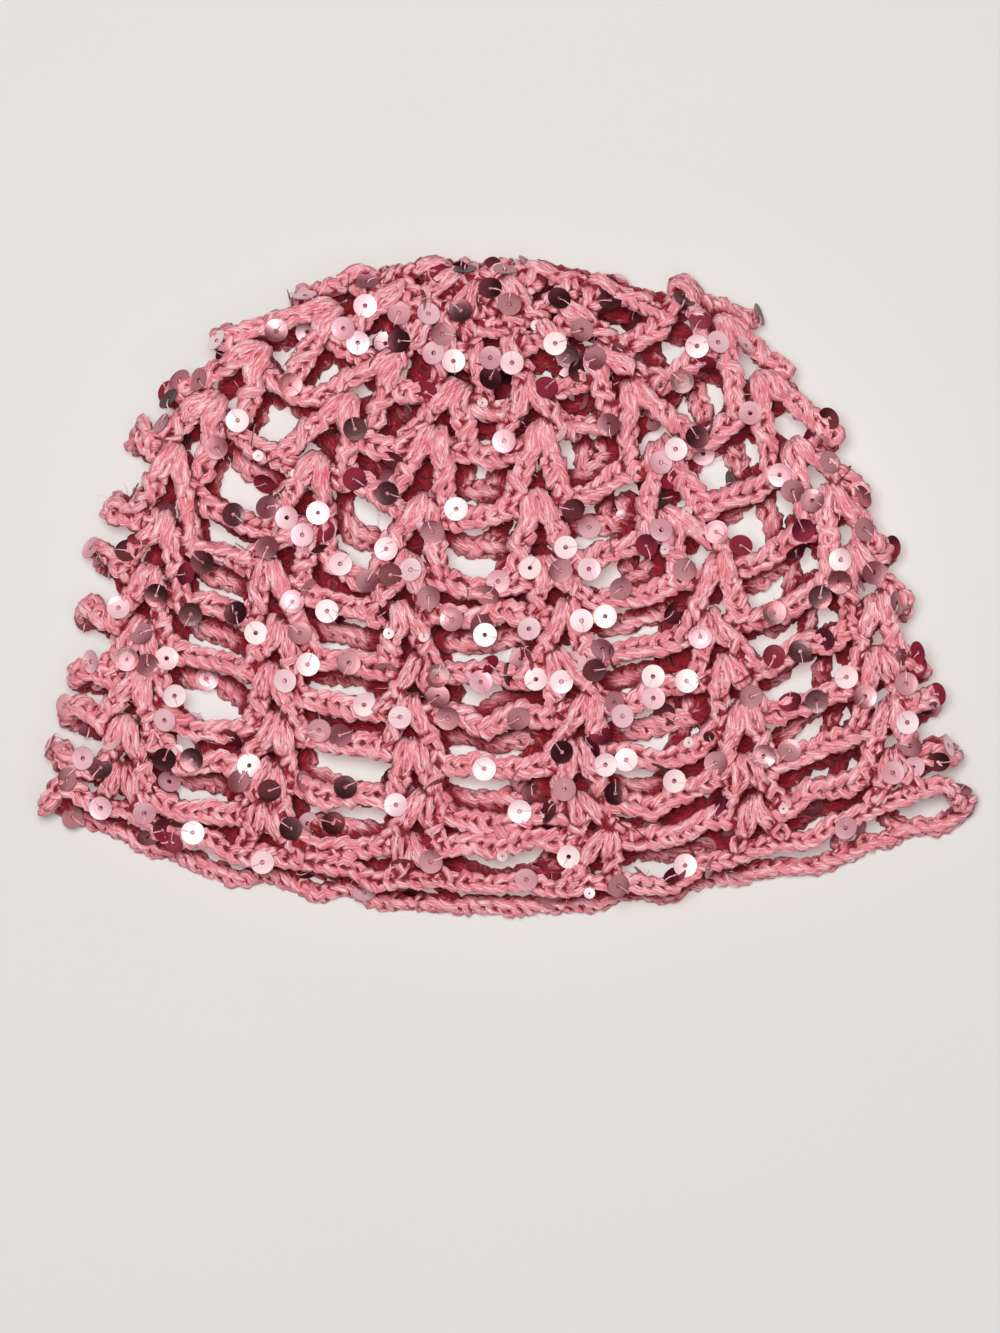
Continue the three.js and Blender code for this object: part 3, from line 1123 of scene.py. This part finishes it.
@dataclass
class Net:
    """The whole of the crochet: its crown, its open net and its braided edging."""

    chart: CapChart
    finish: YarnFinish = YarnFinish()
    crown_rounds: tuple[float, ...] = (0.3, 0.62, 1, 1.5, 2, 3)
    crown_posts_from: dict = field(default_factory=lambda: {1: 15, 2: 19})
    rim_pitch: float = 3.1
    rim_width: float = 1.12
    rib_shift: float = 1.3
    # How far to the sides a rib's legs stand, at the crown's edge and at the rim
    feet: tuple[float, float] = (8.4, 7.0)
    # How far apart the points of a post's strand are, on the upper and on the lower layer
    post_steps: tuple[float, float] = (1.42, 1.56)
    post_twist: float = 20.0
    tops: list = field(default_factory=list)
    bottoms: list = field(default_factory=list)
    skins: list = field(default_factory=list)

    def __post_init__(self) -> None:
        """Lays out the middle line of every round."""
        rounds = (*self.crown_rounds, *range(self.chart.crown_edge + 1, RIM_ROUND))
        self.paths = {r: RoundPath(self.chart, r, 10 + i) for i, r in enumerate(rounds)}
        self.paths[RIM_ROUND] = RoundPath(self.chart, RIM_ROUND, 40)
        rng = np.random.default_rng(SEED + 60)
        self.shifts = rng.normal(0, self.rib_shift, (RIM_ROUND + 1, self.chart.ribs.shape[1]))
        for path in self.paths.values():
            places = path.rows[::6, :3]
            high = places[:, 2] > self.chart.halfway
            self.tops.append(places[high])
            self.bottoms.append(places[~high])

    def chains(self, name: str, rounds: tuple[float, ...]) -> Spinner:
        """Works some of the rounds as one piece.

        Args:
            name: The piece's name.
            rounds: The rounds.

        Returns:
            The spinner that holds them.
        """
        spinner = Spinner(name)
        rng = np.random.default_rng(SEED + 100 + int(rounds[0]))
        for r in rounds:
            chain = ChainRound(self.paths[r])
            if r == RIM_ROUND:
                chain = ChainRound(
                    self.paths[r], self.rim_pitch, self.rim_width, height=1.0, radius=1.4, roll=0.35
                )
            chain.spin(spinner, rng)
        return spinner

    def rib_at(self, rounds: float, rib: int) -> float:
        """How far along a round the work of a rib lies, a little off its line."""
        return self.paths[rounds].rib_station(rib) + self.shifts[int(rounds), rib]

    def posts(self, name: str, rounds: tuple[float, ...], ribs: range) -> Spinner:
        """Works the stitches between rounds at some of the ribs, as one piece.

        Args:
            name: The piece's name.
            rounds: The rounds, in order.
            ribs: The ribs.

        Returns:
            The spinner that holds them.
        """
        step = self.post_steps[0 if ribs[0] == 0 else 1]
        spinner = Spinner(name, step=step, twist_length=self.post_twist)
        rng = np.random.default_rng(SEED + 200 + ribs[0] + int(rounds[-1]))
        for high, low in zip(rounds, rounds[1:]):
            foot = float(np.interp(high, (4, 9), self.feet))
            for rib in ribs:
                ends = (self.rib_at(high, rib), self.rib_at(low, rib))
                stitch = RibStitch(self.paths[high], self.paths[low], *ends, foot=foot)
                self.note(stitch.spin(spinner, rng))
        return spinner

    def note(self, lines: list[Array]) -> None:
        """Notes lines of yarn with the layer that each is on."""
        for line in lines:
            (self.tops if line[:, 2].mean() > self.chart.halfway else self.bottoms).append(line)

    def crown_posts(self, name: str) -> Spinner:
        """Works the close posts of the crown as one piece.

        Args:
            name: The piece's name.

        Returns:
            The spinner that holds them.
        """
        spinner = Spinner(name, step=self.post_steps[0], twist_length=self.post_twist)
        rng = np.random.default_rng(SEED + 190)
        for high, count in self.crown_posts_from.items():
            above, below = self.paths[high], self.paths[high + 1]
            # The lower layer is worked as closely again, so that no floor shows through the crown
            shares = [(post + 0.5) / count for post in range(count)]
            shares += [post / count for post in range(count // 2 + 1, count)]
            for share in shares:
                share += rng.normal(0, 0.12) / count
                ends = (share * above.length, share * below.length)
                stitch = RibStitch(
                    above, below, *ends, legs=1, foot=0.0, radius=1.15, strand_gap=1.35
                )
                self.note(stitch.spin(spinner, rng))
        return spinner

    def build(self) -> list[Piece]:
        """Works every piece of the crochet, then builds each with shade painted on its sheltered parts.

        Returns:
            The pieces.
        """
        material = self.finish.material()
        net = tuple(range(self.chart.crown_edge, RIM_ROUND + 1))
        worked = [
            ("crown", self.chains("crown_chains", self.crown_rounds)),
            ("crown", self.crown_posts("crown_posts")),
            ("net", self.chains("net_chains_high", tuple(range(4, 8)))),
            ("net", self.chains("net_chains_middle", tuple(range(8, 11)))),
            ("net", self.chains("net_chains_low", (11, 12))),
            ("net", self.posts("net_posts_upper", net, range(6))),
            ("net", self.posts("net_posts_lower", net, range(6, 12))),
            ("rim", self.chains("rim_braid", (RIM_ROUND,))),
        ]
        self.skins = [part[0] for _, spinner in worked for part in spinner.parts]
        thicket = Thicket(self.skins)
        pieces = []
        for node, spinner in worked:
            piece = spinner.build(material, thicket)
            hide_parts(node)
            pieces.append(piece)
        spun = sum(spinner.spun for _, spinner in worked)
        log.info("yarn in the cap: %.1f m", spun * METRES)
        return pieces


@dataclass
class Relief:
    """How high the yarn of the upper layer reaches over each spot of the plan."""

    skins: list
    cell: float = 0.5
    # Half the width and half the depth of the map
    span: tuple[float, float] = (125.0, 92.0)
    # Yarn below this height is the lower layer's
    lowest: float = 9.0
    # How far below the highest yarn under a disc it still bears on it
    give: float = 2.6
    # How many spots of yarn it takes to bear a disc
    enough: int = 8

    def __post_init__(self) -> None:
        """Draws the map from the yarn's skin."""
        self.size = tuple(int(2 * reach / self.cell) for reach in self.span)
        self.tops = np.full(self.size, -1.0)
        points = np.vstack([skin.reshape(-1, 3) for skin in self.skins])
        points = points[points[:, 2] > self.lowest]
        cells = self.cells(points)
        np.maximum.at(self.tops, (cells[:, 0], cells[:, 1]), points[:, 2])

    def cells(self, points: Array) -> Array:
        """The cell of the map that each point lies in."""
        cells = ((points[:, :2] + self.span) / self.cell).astype(int)
        return np.clip(cells, 0, np.array(self.size) - 1)

    def rest(self, centre: Array, radius: float, slope: float) -> tuple[float, Array]:
        """How a flat disc comes to lie on the yarn.

        Args:
            centre: The disc's middle in plan.
            radius: Its radius.
            slope: The steepest that it may lie.

        Returns:
            The height of its middle and the direction that it faces.
        """
        reach = np.arange(-radius, radius + 0.1, self.cell)
        x, y = (part.ravel() for part in np.meshgrid(reach, reach))
        inside = x**2 + y**2 <= radius**2
        x, y = x[inside], y[inside]
        spots = self.cells(np.column_stack([x + centre[0], y + centre[1]]))
        tops = self.tops[spots[:, 0], spots[:, 1]]
        held = tops > max(tops.max() - self.give, self.lowest)
        if held.sum() < self.enough:
            return -1.0, np.array((0.0, 0.0, 1.0))
        sheet = np.column_stack([x[held], y[held], np.ones(held.sum())])
        fit = np.linalg.lstsq(sheet, tops[held], rcond=None)[0]
        tilt = fit[:2] * min(1, slope / max(np.linalg.norm(fit[:2]), 1e-6))
        over = tops[held] - sheet[:, :2] @ tilt
        return float(np.quantile(over, 0.985)), unit(np.array((-tilt[0], -tilt[1], 1)))


# The places in plan of the clearest sequins that aren't nodes, by painted look of reflection or shade
CHARTED: dict[Film, list[tuple[float, float]]] = {
    Film.LAMP_REFLECTION: [
        (15.4, 10.4), (-29.5, 10.0), (5.5, -10.9), (25.7, -7.4), (8.0, -22.6),
        (-77.2, -26.4), (-49.2, -19.4), (3.4, -54.5), (30.6, -42.8),
        (36.1, -19.9), (-60.5, -68.4), (-41.0, 6.3), (44.4, -68.0),
    ],
    Film.BLUSH: [
        (-18.9, 68.8), (-35.6, 71.6), (-35.8, 62.5), (-17.6, 59.0),
        (-1.5, 1.9), (-103.2, -16.6), (-96.4, -4.7), (-110.6, -29.2),
        (-105.0, -41.1), (-90.0, -56.1), (-85.0, -32.9), (-5.8, -24.0),
        (29.7, -32.4), (38.1, -28.5), (5.6, -72.7), (89.4, -68.0),
        (68.9, 28.5), (61.8, 43.5), (110.8, -37.9), (39.2, 31.6),
        (-46.5, 19.0), (-40.2, 65.1), (60.5, 61.0),
    ],
    Film.ROSE: [
        (19.5, 64.8), (21.8, 58.8), (1.4, 71.2), (-55.3, 61.4), (26.2, 41.1),
        (29.8, 3.2), (45.2, 4.8), (-18.9, -2.1), (-52.9, -3.2),
        (-51.0, -11.1), (-59.2, 10.3), (-61.9, 22.1), (-89.2, -19.0),
        (-70.3, 34.8), (-109.5, -47.4), (-66.3, -48.2), (-41.0, -36.4),
        (-45.8, -34.0), (-14.1, -32.4), (-16.5, -26.9), (3.6, -32.4),
        (24.6, -14.2), (61.8, -26.9), (52.0, -43.5), (64.9, -41.9),
        (71.3, -40.3), (15.1, -50.1), (28.6, -74.3), (72.1, 24.5),
        (77.6, 22.1), (81.5, 31.6), (100.5, -23.7), (90.2, -26.9),
        (53.1, 14.2),
    ],
    Film.SMOKE: [
        (74.1, -15.6), (82.0, 43.5), (14.5, -40.8), (-53.4, -59.9),
        (48.3, 38.0), (22.7, -21.3), (17.3, 19.8), (-86.1, -44.3),
        (-92.9, -18.6), (-39.6, -47.4), (-16.7, -21.8), (-29.2, 23.9),
        (-67.1, -6.0), (79.9, -2.7), (83.6, 1.7), (-10.8, 69.6),
        (-29.2, 64.0), (13.8, 72.7), (26.5, 72.0), (15.9, 58.2),
        (-1.0, 52.5), (-5.4, -9.5), (-86.9, -1.6), (-78.2, -9.5),
        (-58.9, -50.9), (-78.2, -42.7), (28.6, -50.6),
    ],
    Film.WINE: [
        (110.0, -25.3), (104.5, -14.2), (99.7, 10.8), (35.7, 9.5),
        (61.0, 12.6),
    ],
}
# The places in plan of the small sequins
SMALL_CHARTED: list[tuple[float, float]] = [
    (-52.1, 28.8), (-28.8, -11.1), (-0.7, -69.1), (22.2, -79.6),
    (44.7, -34.8), (-81.7, -40.3), (-20.0, -12.0), (-5.4, 46.6),
    (38.8, 9.8), (95.8, 12.2), (45.5, 19.5), (-63.0, 30.0),
    (8.0, 66.0), (70.0, -55.0),
]


@dataclass
class Seat:
    """Where one sequin sits."""

    centre: Array
    normal: Array
    film: Film
    size: float = 1.0


@dataclass
class Sequins:
    """Flat round sequins, held by a fine thread through the middle."""

    net: Net
    radius: float = 3.0
    hole: float = 0.5
    thickness: float = 0.14
    cup: float = 0.16
    sides: int = 18
    # How far from its strand the middle of a sequin may lie in plan, and how high it is if nothing bears it
    off_strand: float = 2.2
    rest: float = 2.25
    # How much higher than its rest the middle of a sequin is that hangs beside its strand
    hang: float = 0.85
    # The share of its radius that bears on the yarn, and the steepest that the yarn tips it
    bearing: float = 0.86
    slope: float = 0.32
    # How far it may tip besides, in radians: a node's, a charted one painted with the lamp's reflection,
    # another charted one, the rest
    main_lean: float = 0.1
    lamp_reflection_lean: float = 0.2
    film_lean: float = 0.38
    loose_lean: float = 0.4
    fold_lean: float = 1.8
    # How near in plan, in shares of both radii, two sequins at one level overlap, and the lift of the upper
    overlap: float = 0.92
    same_level: float = 0.5
    lift: float = 0.4
    # The thread's radius on pale sequins and on the others
    pale_thread: float = 0.1
    thread: float = 0.17
    small: float = 0.47
    small_share: float = 0.06
    top_count: int = 165
    bottom_count: int = 130
    # The least way between two sequins that lie flat, and between two that stand on edge
    flat_gap: float = 5.0
    steep_gap: float = 3.4
    # How far a sequin swings from lying flat before it counts as on edge, in radians
    steep: float = 0.6
    # The lowest that the middle of a sequin of the lower layer may be
    clearance: float = 3.2
    # Nodes painted with the dark reflection, and with the pale pink look
    dark_reflection_nodes: tuple[int, ...] = (6, 7, 8, 10, 16, 21)
    rose_nodes: tuple[int, ...] = (9, 11)
    main_count: int = 36
    seats: list = field(default_factory=list)

    def seat(
        self, spots: Array, place: tuple[float, float], film: Film, lean: float, rng: Rng, size: float = 1.0
    ) -> Seat:
        """Sets a sequin down on the strand nearest to a place in plan.

        Args:
            spots: Points of the strands that may carry it.
            place: Where it is wanted.
            film: Its painted look of reflection or shade.
            lean: How far it may tip, in radians.
            rng: The source of chance.
            size: Its size beside a full sequin.

        Returns:
            The seat.
        """
        offset = np.array(place) - spots[:, :2]
        apart = np.linalg.norm(offset, axis=1)
        near = int(apart.argmin())
        reach = min(apart[near], self.off_strand)
        centre = spots[near].copy()
        centre[:2] += offset[near] / max(apart[near], 1e-6) * reach
        return self.settle(Seat(centre, np.array((0.0, 0.0, 1.0)), film, size), lean, rng)

    def settle(self, seat: Seat, lean: float, rng: Rng) -> Seat:
        """Lets a sequin down on to the yarn under it, and tips it a little.

        Args:
            seat: Where it would sit.
            lean: How far it may tip, in radians.
            rng: The source of chance.

        Returns:
            The same seat, moved.
        """
        radius = self.radius * seat.size
        height, facing = self.relief.rest(seat.centre, radius * self.bearing, self.slope)
        tip = rng.uniform(0.2, 1) * lean
        way = rng.uniform(0, FULL_TURN)
        aside = np.array((math.cos(way), math.sin(way), 0)) * math.sin(tip)
        off = self.net.chart.to_fold(seat.centre[None, :2])[0]
        over = max(0.0, 1 - np.linalg.norm(off) / self.net.chart.fold) * self.fold_lean
        seat.normal = unit(facing + aside + over * np.append(unit(off), 0))
        if height > 0:
            seat.centre[2] = height + 0.12 + 0.3 * self.radius * seat.size * math.sin(tip)
        else:
            seat.centre[2] += self.rest
        return seat

    def stacked(self, seat: Seat) -> Seat:
        """Lifts a sequin on to those it overlaps.

        Args:
            seat: Where it sits.

        Returns:
            The same seat, lifted.
        """
        for other in self.seats:
            apart = np.linalg.norm(seat.centre[:2] - other.centre[:2])
            level = abs(seat.centre[2] - other.centre[2])
            near = apart < self.radius * (seat.size + other.size) * self.overlap
            if near and level < self.same_level:
                seat.centre[2] = other.centre[2] + self.lift
        return seat

    def lay_out(self) -> None:
        """Seats every sequin: the nodes, the charted ones, and the rest by chance."""
        rng = np.random.default_rng(SEED + 7)
        self.relief = Relief(self.net.skins)
        tops = np.vstack(self.net.tops)
        bottoms = np.vstack(self.net.bottoms)
        for number in range(1, self.main_count + 1):
            low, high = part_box(f"sequin_{number:02d}")
            centre = np.array((low + high) / 2) / METRES
            film = Film.LAMP_REFLECTION
            if number in self.dark_reflection_nodes:
                film = Film.SMOKE
            elif number in self.rose_nodes:
                film = Film.BLUSH
            seat = self.settle(Seat(centre.copy(), centre, film), self.main_lean, rng)
            seat.centre[2] = np.clip(seat.centre[2], centre[2] - 1, centre[2] + 2)
            self.seats.append(seat)
        for film, places in CHARTED.items():
            lean = self.lamp_reflection_lean if film is Film.LAMP_REFLECTION else self.film_lean
            for place in places:
                self.seats.append(self.stacked(self.seat(tops, place, film, lean, rng)))
        for place in SMALL_CHARTED:
            seat = self.seat(tops, place, Film.LAMP_REFLECTION, self.loose_lean, rng, self.small)
            self.seats.append(self.stacked(seat))
        self.scatter(tops, self.top_count, 1, rng)
        self.scatter(bottoms, self.bottom_count, -1, rng)

    def scatter(self, spots: Array, count: int, layer: int, rng: Rng) -> None:
        """Seats more sequins by chance, round the strands of one layer.

        Args:
            spots: Points of the layer's strands.
            count: How many to seat.
            layer: 1 for the upper layer, -1 for the lower one.
            rng: The source of chance.
        """
        # Flat ones mostly take the pale looks and steep ones the dark, as reflection and shade painted by
        # how they tilt
        films = [Film.BLUSH, Film.ROSE, Film.SMOKE, Film.WINE, Film.LAMP_REFLECTION]
        flat_odds = [0.26, 0.44, 0.2, 0.04, 0.06]
        steep_odds = [0.06, 0.16, 0.28, 0.5, 0.0]
        taken = [seat.centre for seat in self.seats if layer > 0]
        left = count
        tries = 0
        while left and tries < 40 * count:
            tries += 1
            spot = spots[rng.integers(len(spots))]
            spin = rng.uniform(0, FULL_TURN)
            swing = rng.normal(0, 1.05)
            level = math.sin(swing)
            normal = np.array([level * math.cos(spin), level * math.sin(spin), abs(math.cos(swing))])
            centre = spot + normal * (self.rest + self.hang)
            if layer < 0 and centre[2] < self.clearance:
                continue
            flat = abs(swing) < self.steep
            gaps = [np.linalg.norm(centre - other) for other in taken]
            if gaps and min(gaps) < (self.flat_gap if flat else self.steep_gap):
                continue
            wobble = rng.normal(0, 0.22, 3)
            film = films[int(rng.choice(len(films), p=flat_odds if flat else steep_odds))]
            size = self.small if rng.random() < self.small_share else 1.0
            seat = Seat(centre, unit(normal + wobble), film, size)
            if layer > 0 and abs(swing) < 0.5:
                seat = self.stacked(self.settle(seat, self.loose_lean, rng))
            self.seats.append(seat)
            taken.append(centre)
            left -= 1

    def profile(self) -> list[tuple[float, float]]:
        """Radius and height of each ring of a sequin's section, all the way round."""
        half = self.thickness / 2
        return [
            (self.hole, -half),
            (self.radius, self.cup - half),
            (self.radius, self.cup + half),
            (1.9, 0.05 + half),
            (self.hole, half),
        ]

    def build_film(self, film: Film, seats: list[Seat]) -> Piece:
        """Makes one piece of all the sequins of one painted look.

        Args:
            film: The painted look.
            seats: Where they sit.

        Returns:
            The piece.
        """
        rng = np.random.default_rng(SEED + 500 + len(seats))
        rings = np.array(self.profile())
        turns = np.arange(self.sides) * FULL_TURN / self.sides
        count = len(rings)
        sides = self.sides
        first = (np.arange(count) * sides)[:, None] + np.arange(sides)
        after = np.roll(first, -1, axis=1)
        quads = np.stack([first, after, np.roll(after, -1, axis=0), np.roll(first, -1, axis=0)], 2)
        quads = quads.reshape(-1, 4)
        points, places, shades = [], [], []
        for seat in seats:
            spin = rng.uniform(0, FULL_TURN)
            aim = unit(np.cross(seat.normal, (math.cos(spin), math.sin(spin), 0.2)))
            side = np.cross(seat.normal, aim)
            flat = rings[:, :1, None] * np.stack([np.cos(turns), np.sin(turns)], 1)
            bend = flat[..., 0] ** 2 * rng.normal(0, 0.018)
            high = rings[:, 1:2] + bend
            body = flat[..., :1] * aim + flat[..., 1:] * side + high[..., None] * seat.normal
            points.append((seat.centre + body * seat.size).reshape(-1, 3))
            places.append((flat / (2 * self.radius) + 0.5).reshape(-1, 2)[quads])
            # How far each disc's painted reflection leans to its dull colour
            drift = 0.5 if rng.random() < 0.2 else rng.uniform(-0.35, 0.25)
            shades.append(np.full(count * sides, drift))
        corners = np.concatenate([quads.ravel() + i * count * sides for i in range(len(seats))])
        starts = np.arange(0, len(corners), 4)
        vertices = np.vstack(points)
        vertices[:, 2] = np.maximum(vertices[:, 2], 0.03)
        name = "sequins_" + film.name.lower()
        piece = make_piece(name, (vertices, corners, starts), film.value.material())
        mesh = piece.data
        keep_map(mesh, DISC_MAP, np.concatenate(places))
        keep_values(mesh, SHADE, "FLOAT", "POINT", np.concatenate(shades).astype(np.float32))
        mesh.polygons.foreach_set("use_smooth", np.zeros(len(mesh.polygons), bool))
        return piece

    def build_threads(self) -> Piece:
        """Makes the thread of every sequin, out of its hole and over its edge.

        Returns:
            The threads, as one piece.
        """
        rng = np.random.default_rng(SEED + 900)
        spinner = Spinner("sequin_threads", plies=2, valley=1.0, step=1.1, twist_length=9)
        for seat in self.seats:
            way = rng.uniform(0, FULL_TURN)
            aim = unit(np.cross(seat.normal, (math.cos(way), math.sin(way), 0.3)))
            side = np.cross(seat.normal, aim)
            sway = rng.normal(0, 0.25)
            rows = [
                (0.2, 0.0, -0.9),
                (0.3, 0.0, 0.1),
                (0.7, 0.1, 0.34),
                (1.8, sway, 0.42),
                (3.0, sway * 1.3, 0.36),
                (3.45, sway * 1.4, -0.3),
                (3.3, sway * 1.2, -1.2),
            ]
            controls = np.array([seat.size * (aim * u + side * v + seat.normal * w) for u, v, w in rows])
            controls = controls + seat.centre
            controls[:, 2] = np.maximum(controls[:, 2], 0.2)
            pale = seat.film in (Film.LAMP_REFLECTION, Film.BLUSH)
            spinner.add(controls, self.pale_thread if pale else self.thread, rng)
        piece = spinner.build(ThreadFinish().material())
        return piece

    def build(self) -> list[Piece]:
        """Makes every sequin, the nodes' ones by their painted look, and the threads.

        Returns:
            The pieces.
        """
        self.lay_out()
        dark = self.dark_reflection_nodes + self.rose_nodes
        main = {
            Film.SMOKE: self.dark_reflection_nodes,
            Film.BLUSH: self.rose_nodes,
            Film.LAMP_REFLECTION: [n for n in range(1, self.main_count + 1) if n not in dark],
        }
        pieces = []
        for film in Film:
            piece = self.build_film(film, [seat for seat in self.seats if seat.film is film])
            if film in main:
                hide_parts(*[f"sequin_{n:02d}" for n in main[film]])
            pieces.append(piece)
        log.info("sequins in all: %d", len(self.seats))
        return [*pieces, self.build_threads()]


@dataclass
class Fuzz:
    """Short loose hairs that stand off the yarn."""

    net: Net
    finish: ThreadFinish = ThreadFinish("loose_fibre")
    count: int = 1300
    radius: float = 0.06
    shortest: float = 0.8
    spread: float = 0.7

    def build(self) -> list[Piece]:
        """Plants the hairs on the yarn's skin as one piece.

        Returns:
            The piece, as a list of one.
        """
        rng = np.random.default_rng(SEED + 70)
        spinner = Spinner("loose_fibres", plies=2, valley=1.0, step=0.9, twist_length=9)
        lengths = np.array([len(skin) for skin in self.net.skins])
        chosen = rng.choice(len(lengths), self.count, p=lengths / lengths.sum())
        for skin in (self.net.skins[i] for i in chosen):
            ring = skin[rng.integers(1, len(skin) - 1)]
            root = ring[rng.integers(len(ring))]
            out = unit(root - ring.mean(0) + rng.normal(0, 0.35, 3))
            bend = rng.normal(0, 0.6, 3)
            reach = self.shortest + min(rng.exponential(self.spread), 3)
            share = np.linspace(0, 1, 4)[:, None]
            controls = root + reach * (out * share + bend * share**2 * 0.5)
            controls[:, 2] = np.maximum(controls[:, 2], 0.1)
            spinner.add(controls, self.radius, rng)
        piece = spinner.build(self.finish.material())
        return [piece]


@dataclass
class Studio:
    """The pale floor, the soft light and the camera above."""

    middle: tuple[float, float] = (-1.0, -19.4)
    view_height: float = 337.0
    distance: float = 1.7
    sensor: float = 36.0
    floor_colour: Colour = linear(211, 209, 206)
    # The board under and beside the cap: its colour there, darker and cooler to offset the glow, and a pink
    # glow painted on it as bounce light from the yarn, which also lifts its shadows
    board_under_glow: Colour = linear(185, 199, 197)
    board_beside_glow: Colour = linear(169, 185, 182)
    painted_bounce_light: Colour = linear(153, 124, 121)
    # The cap's outline as an ellipse on the board: how far up its middle is, and one over its half sizes
    outline_middle: float = 0.005
    outline_scale: tuple[float, float] = (8.9, 12.2)
    # The light that the backdrop gives off, and the board where the lamps don't reach
    far_glow: Colour = linear(225, 223, 219)
    board_glow: Colour = linear(184, 182, 178)
    floor_size: float = 8.0
    backdrop_radius: float = 3.8
    backdrop_height: float = 0.6
    backdrop_sides: int = 48
    surroundings: float = 0.14

    def floor(self) -> None:
        """Lays the floor."""
        shader = Shader("pale_board")
        where = shader.spot()
        cloud = shader.noise(where, 9.0)
        lighter = tuple(min(1.0, c * 1.02) for c in self.floor_colour)
        x, y, _ = shader.split(where)
        across = x * self.outline_scale[0]
        up = (y - self.outline_middle) * self.outline_scale[1]
        reach = (across * across + up * up) ** 0.5
        # A pink glow painted on the board under and beside the cap stands in for bounce light from the yarn
        # above, and the board's colour there is toned down to offset it
        board = shader.mix(cloud, self.floor_colour, lighter)
        away = reach.between(1.0, 1.35)
        near = shader.mix(reach.between(0.7, 1.05), self.board_under_glow, self.board_beside_glow)
        distance = (x * x + y * y) ** 0.5
        far = shader.mix(distance.between(0.25, 2.2), (0.0, 0.0, 0.0), self.board_glow)
        material = shader.finish(
            {
                "Base Color": shader.mix(away, near, board),
                "Roughness": 0.8,
                "Specular IOR Level": 0.1,
                # The painted bounce glow under and beside the cap, and the far board's light where the
                # lamps don't reach
                "Emission Color": shader.mix(away, self.painted_bounce_light, far),
                "Emission Strength": 1.0,
            }
        )
        half = self.floor_size / 2
        corners = [(-half, -half, 0), (half, -half, 0), (half, half, 0), (-half, half, 0)]
        self.stand("floor", corners, [(0, 1, 2, 3)], material)

    def stand(self, name: str, points: list, faces: list, material: bpy.types.Material) -> None:
        """Puts a piece of the setting in its place.

        Args:
            name: The piece's name.
            points: Its vertices, in metres.
            faces: The vertices of each face.
            material: What it is made of.
        """
        mesh = bpy.data.meshes.new(name)
        mesh.from_pydata(points, [], faces)
        mesh.materials.append(material)
        piece = bpy.data.objects.new(name, mesh)
        bpy.context.scene.collection.objects.link(piece)

    def backdrop(self) -> None:
        """Stands a low pale wall round the board, far behind the cap."""
        shader = Shader("pale_backdrop")
        material = shader.finish(
            {
                "Base Color": (0.0, 0.0, 0.0, 1.0),
                "Roughness": 1.0,
                "Specular IOR Level": 0.0,
                "Emission Color": (*self.far_glow, 1.0),
                "Emission Strength": 1.0,
            }
        )
        sides = self.backdrop_sides
        turns = np.arange(sides) * FULL_TURN / sides
        ring = np.column_stack([np.cos(turns), np.sin(turns)]) * self.backdrop_radius
        low = np.column_stack([ring, np.zeros(sides)])
        high = np.column_stack([ring, np.full(sides, self.backdrop_height)])
        faces = [(i, (i + 1) % sides, (i + 1) % sides + sides, i + sides) for i in range(sides)]
        self.stand("backdrop", np.vstack([low, high]).tolist(), faces, material)

    def light(
        self, name: str, place: tuple[float, float, float], size: float, power: float, colour: Colour
    ) -> None:
        """Hangs a square soft light that faces the cap.

        Args:
            name: The light's name.
            place: Where it hangs, in metres.
            size: How wide it is, in metres.
            power: How strong it is, in watts.
            colour: Its colour.
        """
        lamp = bpy.data.lights.new(name, "AREA")
        lamp.shape = "SQUARE"
        lamp.size = size
        lamp.energy = power
        lamp.color = colour
        holder = bpy.data.objects.new(name, lamp)
        holder.location = place
        holder.rotation_mode = "QUATERNION"
        holder.rotation_quaternion = holder.location.to_track_quat("Z", "Y")
        bpy.context.scene.collection.objects.link(holder)

    def camera(self) -> None:
        """Sets the camera straight above, with a long lens."""
        lens = bpy.data.cameras.new("camera")
        lens.sensor_width = self.sensor
        lens.sensor_height = self.sensor
        lens.sensor_fit = "AUTO"
        lens.lens = self.sensor * self.distance / (self.view_height * METRES)
        lens.clip_start = 0.05
        lens.clip_end = 50
        holder = bpy.data.objects.new("camera", lens)
        x, y = self.middle
        holder.location = (x * METRES, y * METRES, self.distance)
        bpy.context.scene.collection.objects.link(holder)
        bpy.context.scene.camera = holder

    def build(self) -> None:
        """Sets up the floor, the lights, the surroundings and the camera."""
        self.floor()
        self.backdrop()
        self.light("key", (-0.11, 0.14, 1.65), 0.46, 25.6, (1.0, 0.998, 0.99))
        self.light("fill", (0.3, -0.2, 1.6), 1.1, 4.0, (0.995, 0.997, 1.0))
        world = bpy.data.worlds.new("surroundings")
        world.use_nodes = True
        ground = world.node_tree.nodes["Background"]
        ground.inputs["Color"].default_value = (0.93, 0.93, 0.925, 1)
        ground.inputs["Strength"].default_value = self.surroundings
        scene = bpy.context.scene
        scene.world = world
        scene.view_settings.view_transform = "Standard"
        self.camera()


def main() -> None:
    """Builds the cap, its sequins and the studio round it."""
    logging.basicConfig(level=logging.INFO, format="%(message)s")
    net = Net(CapChart())
    for part in (net, Sequins(net), Fuzz(net)):
        for piece in part.build():
            report(piece)
    Studio().build()
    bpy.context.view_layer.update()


if __name__ == "__main__":
    main()
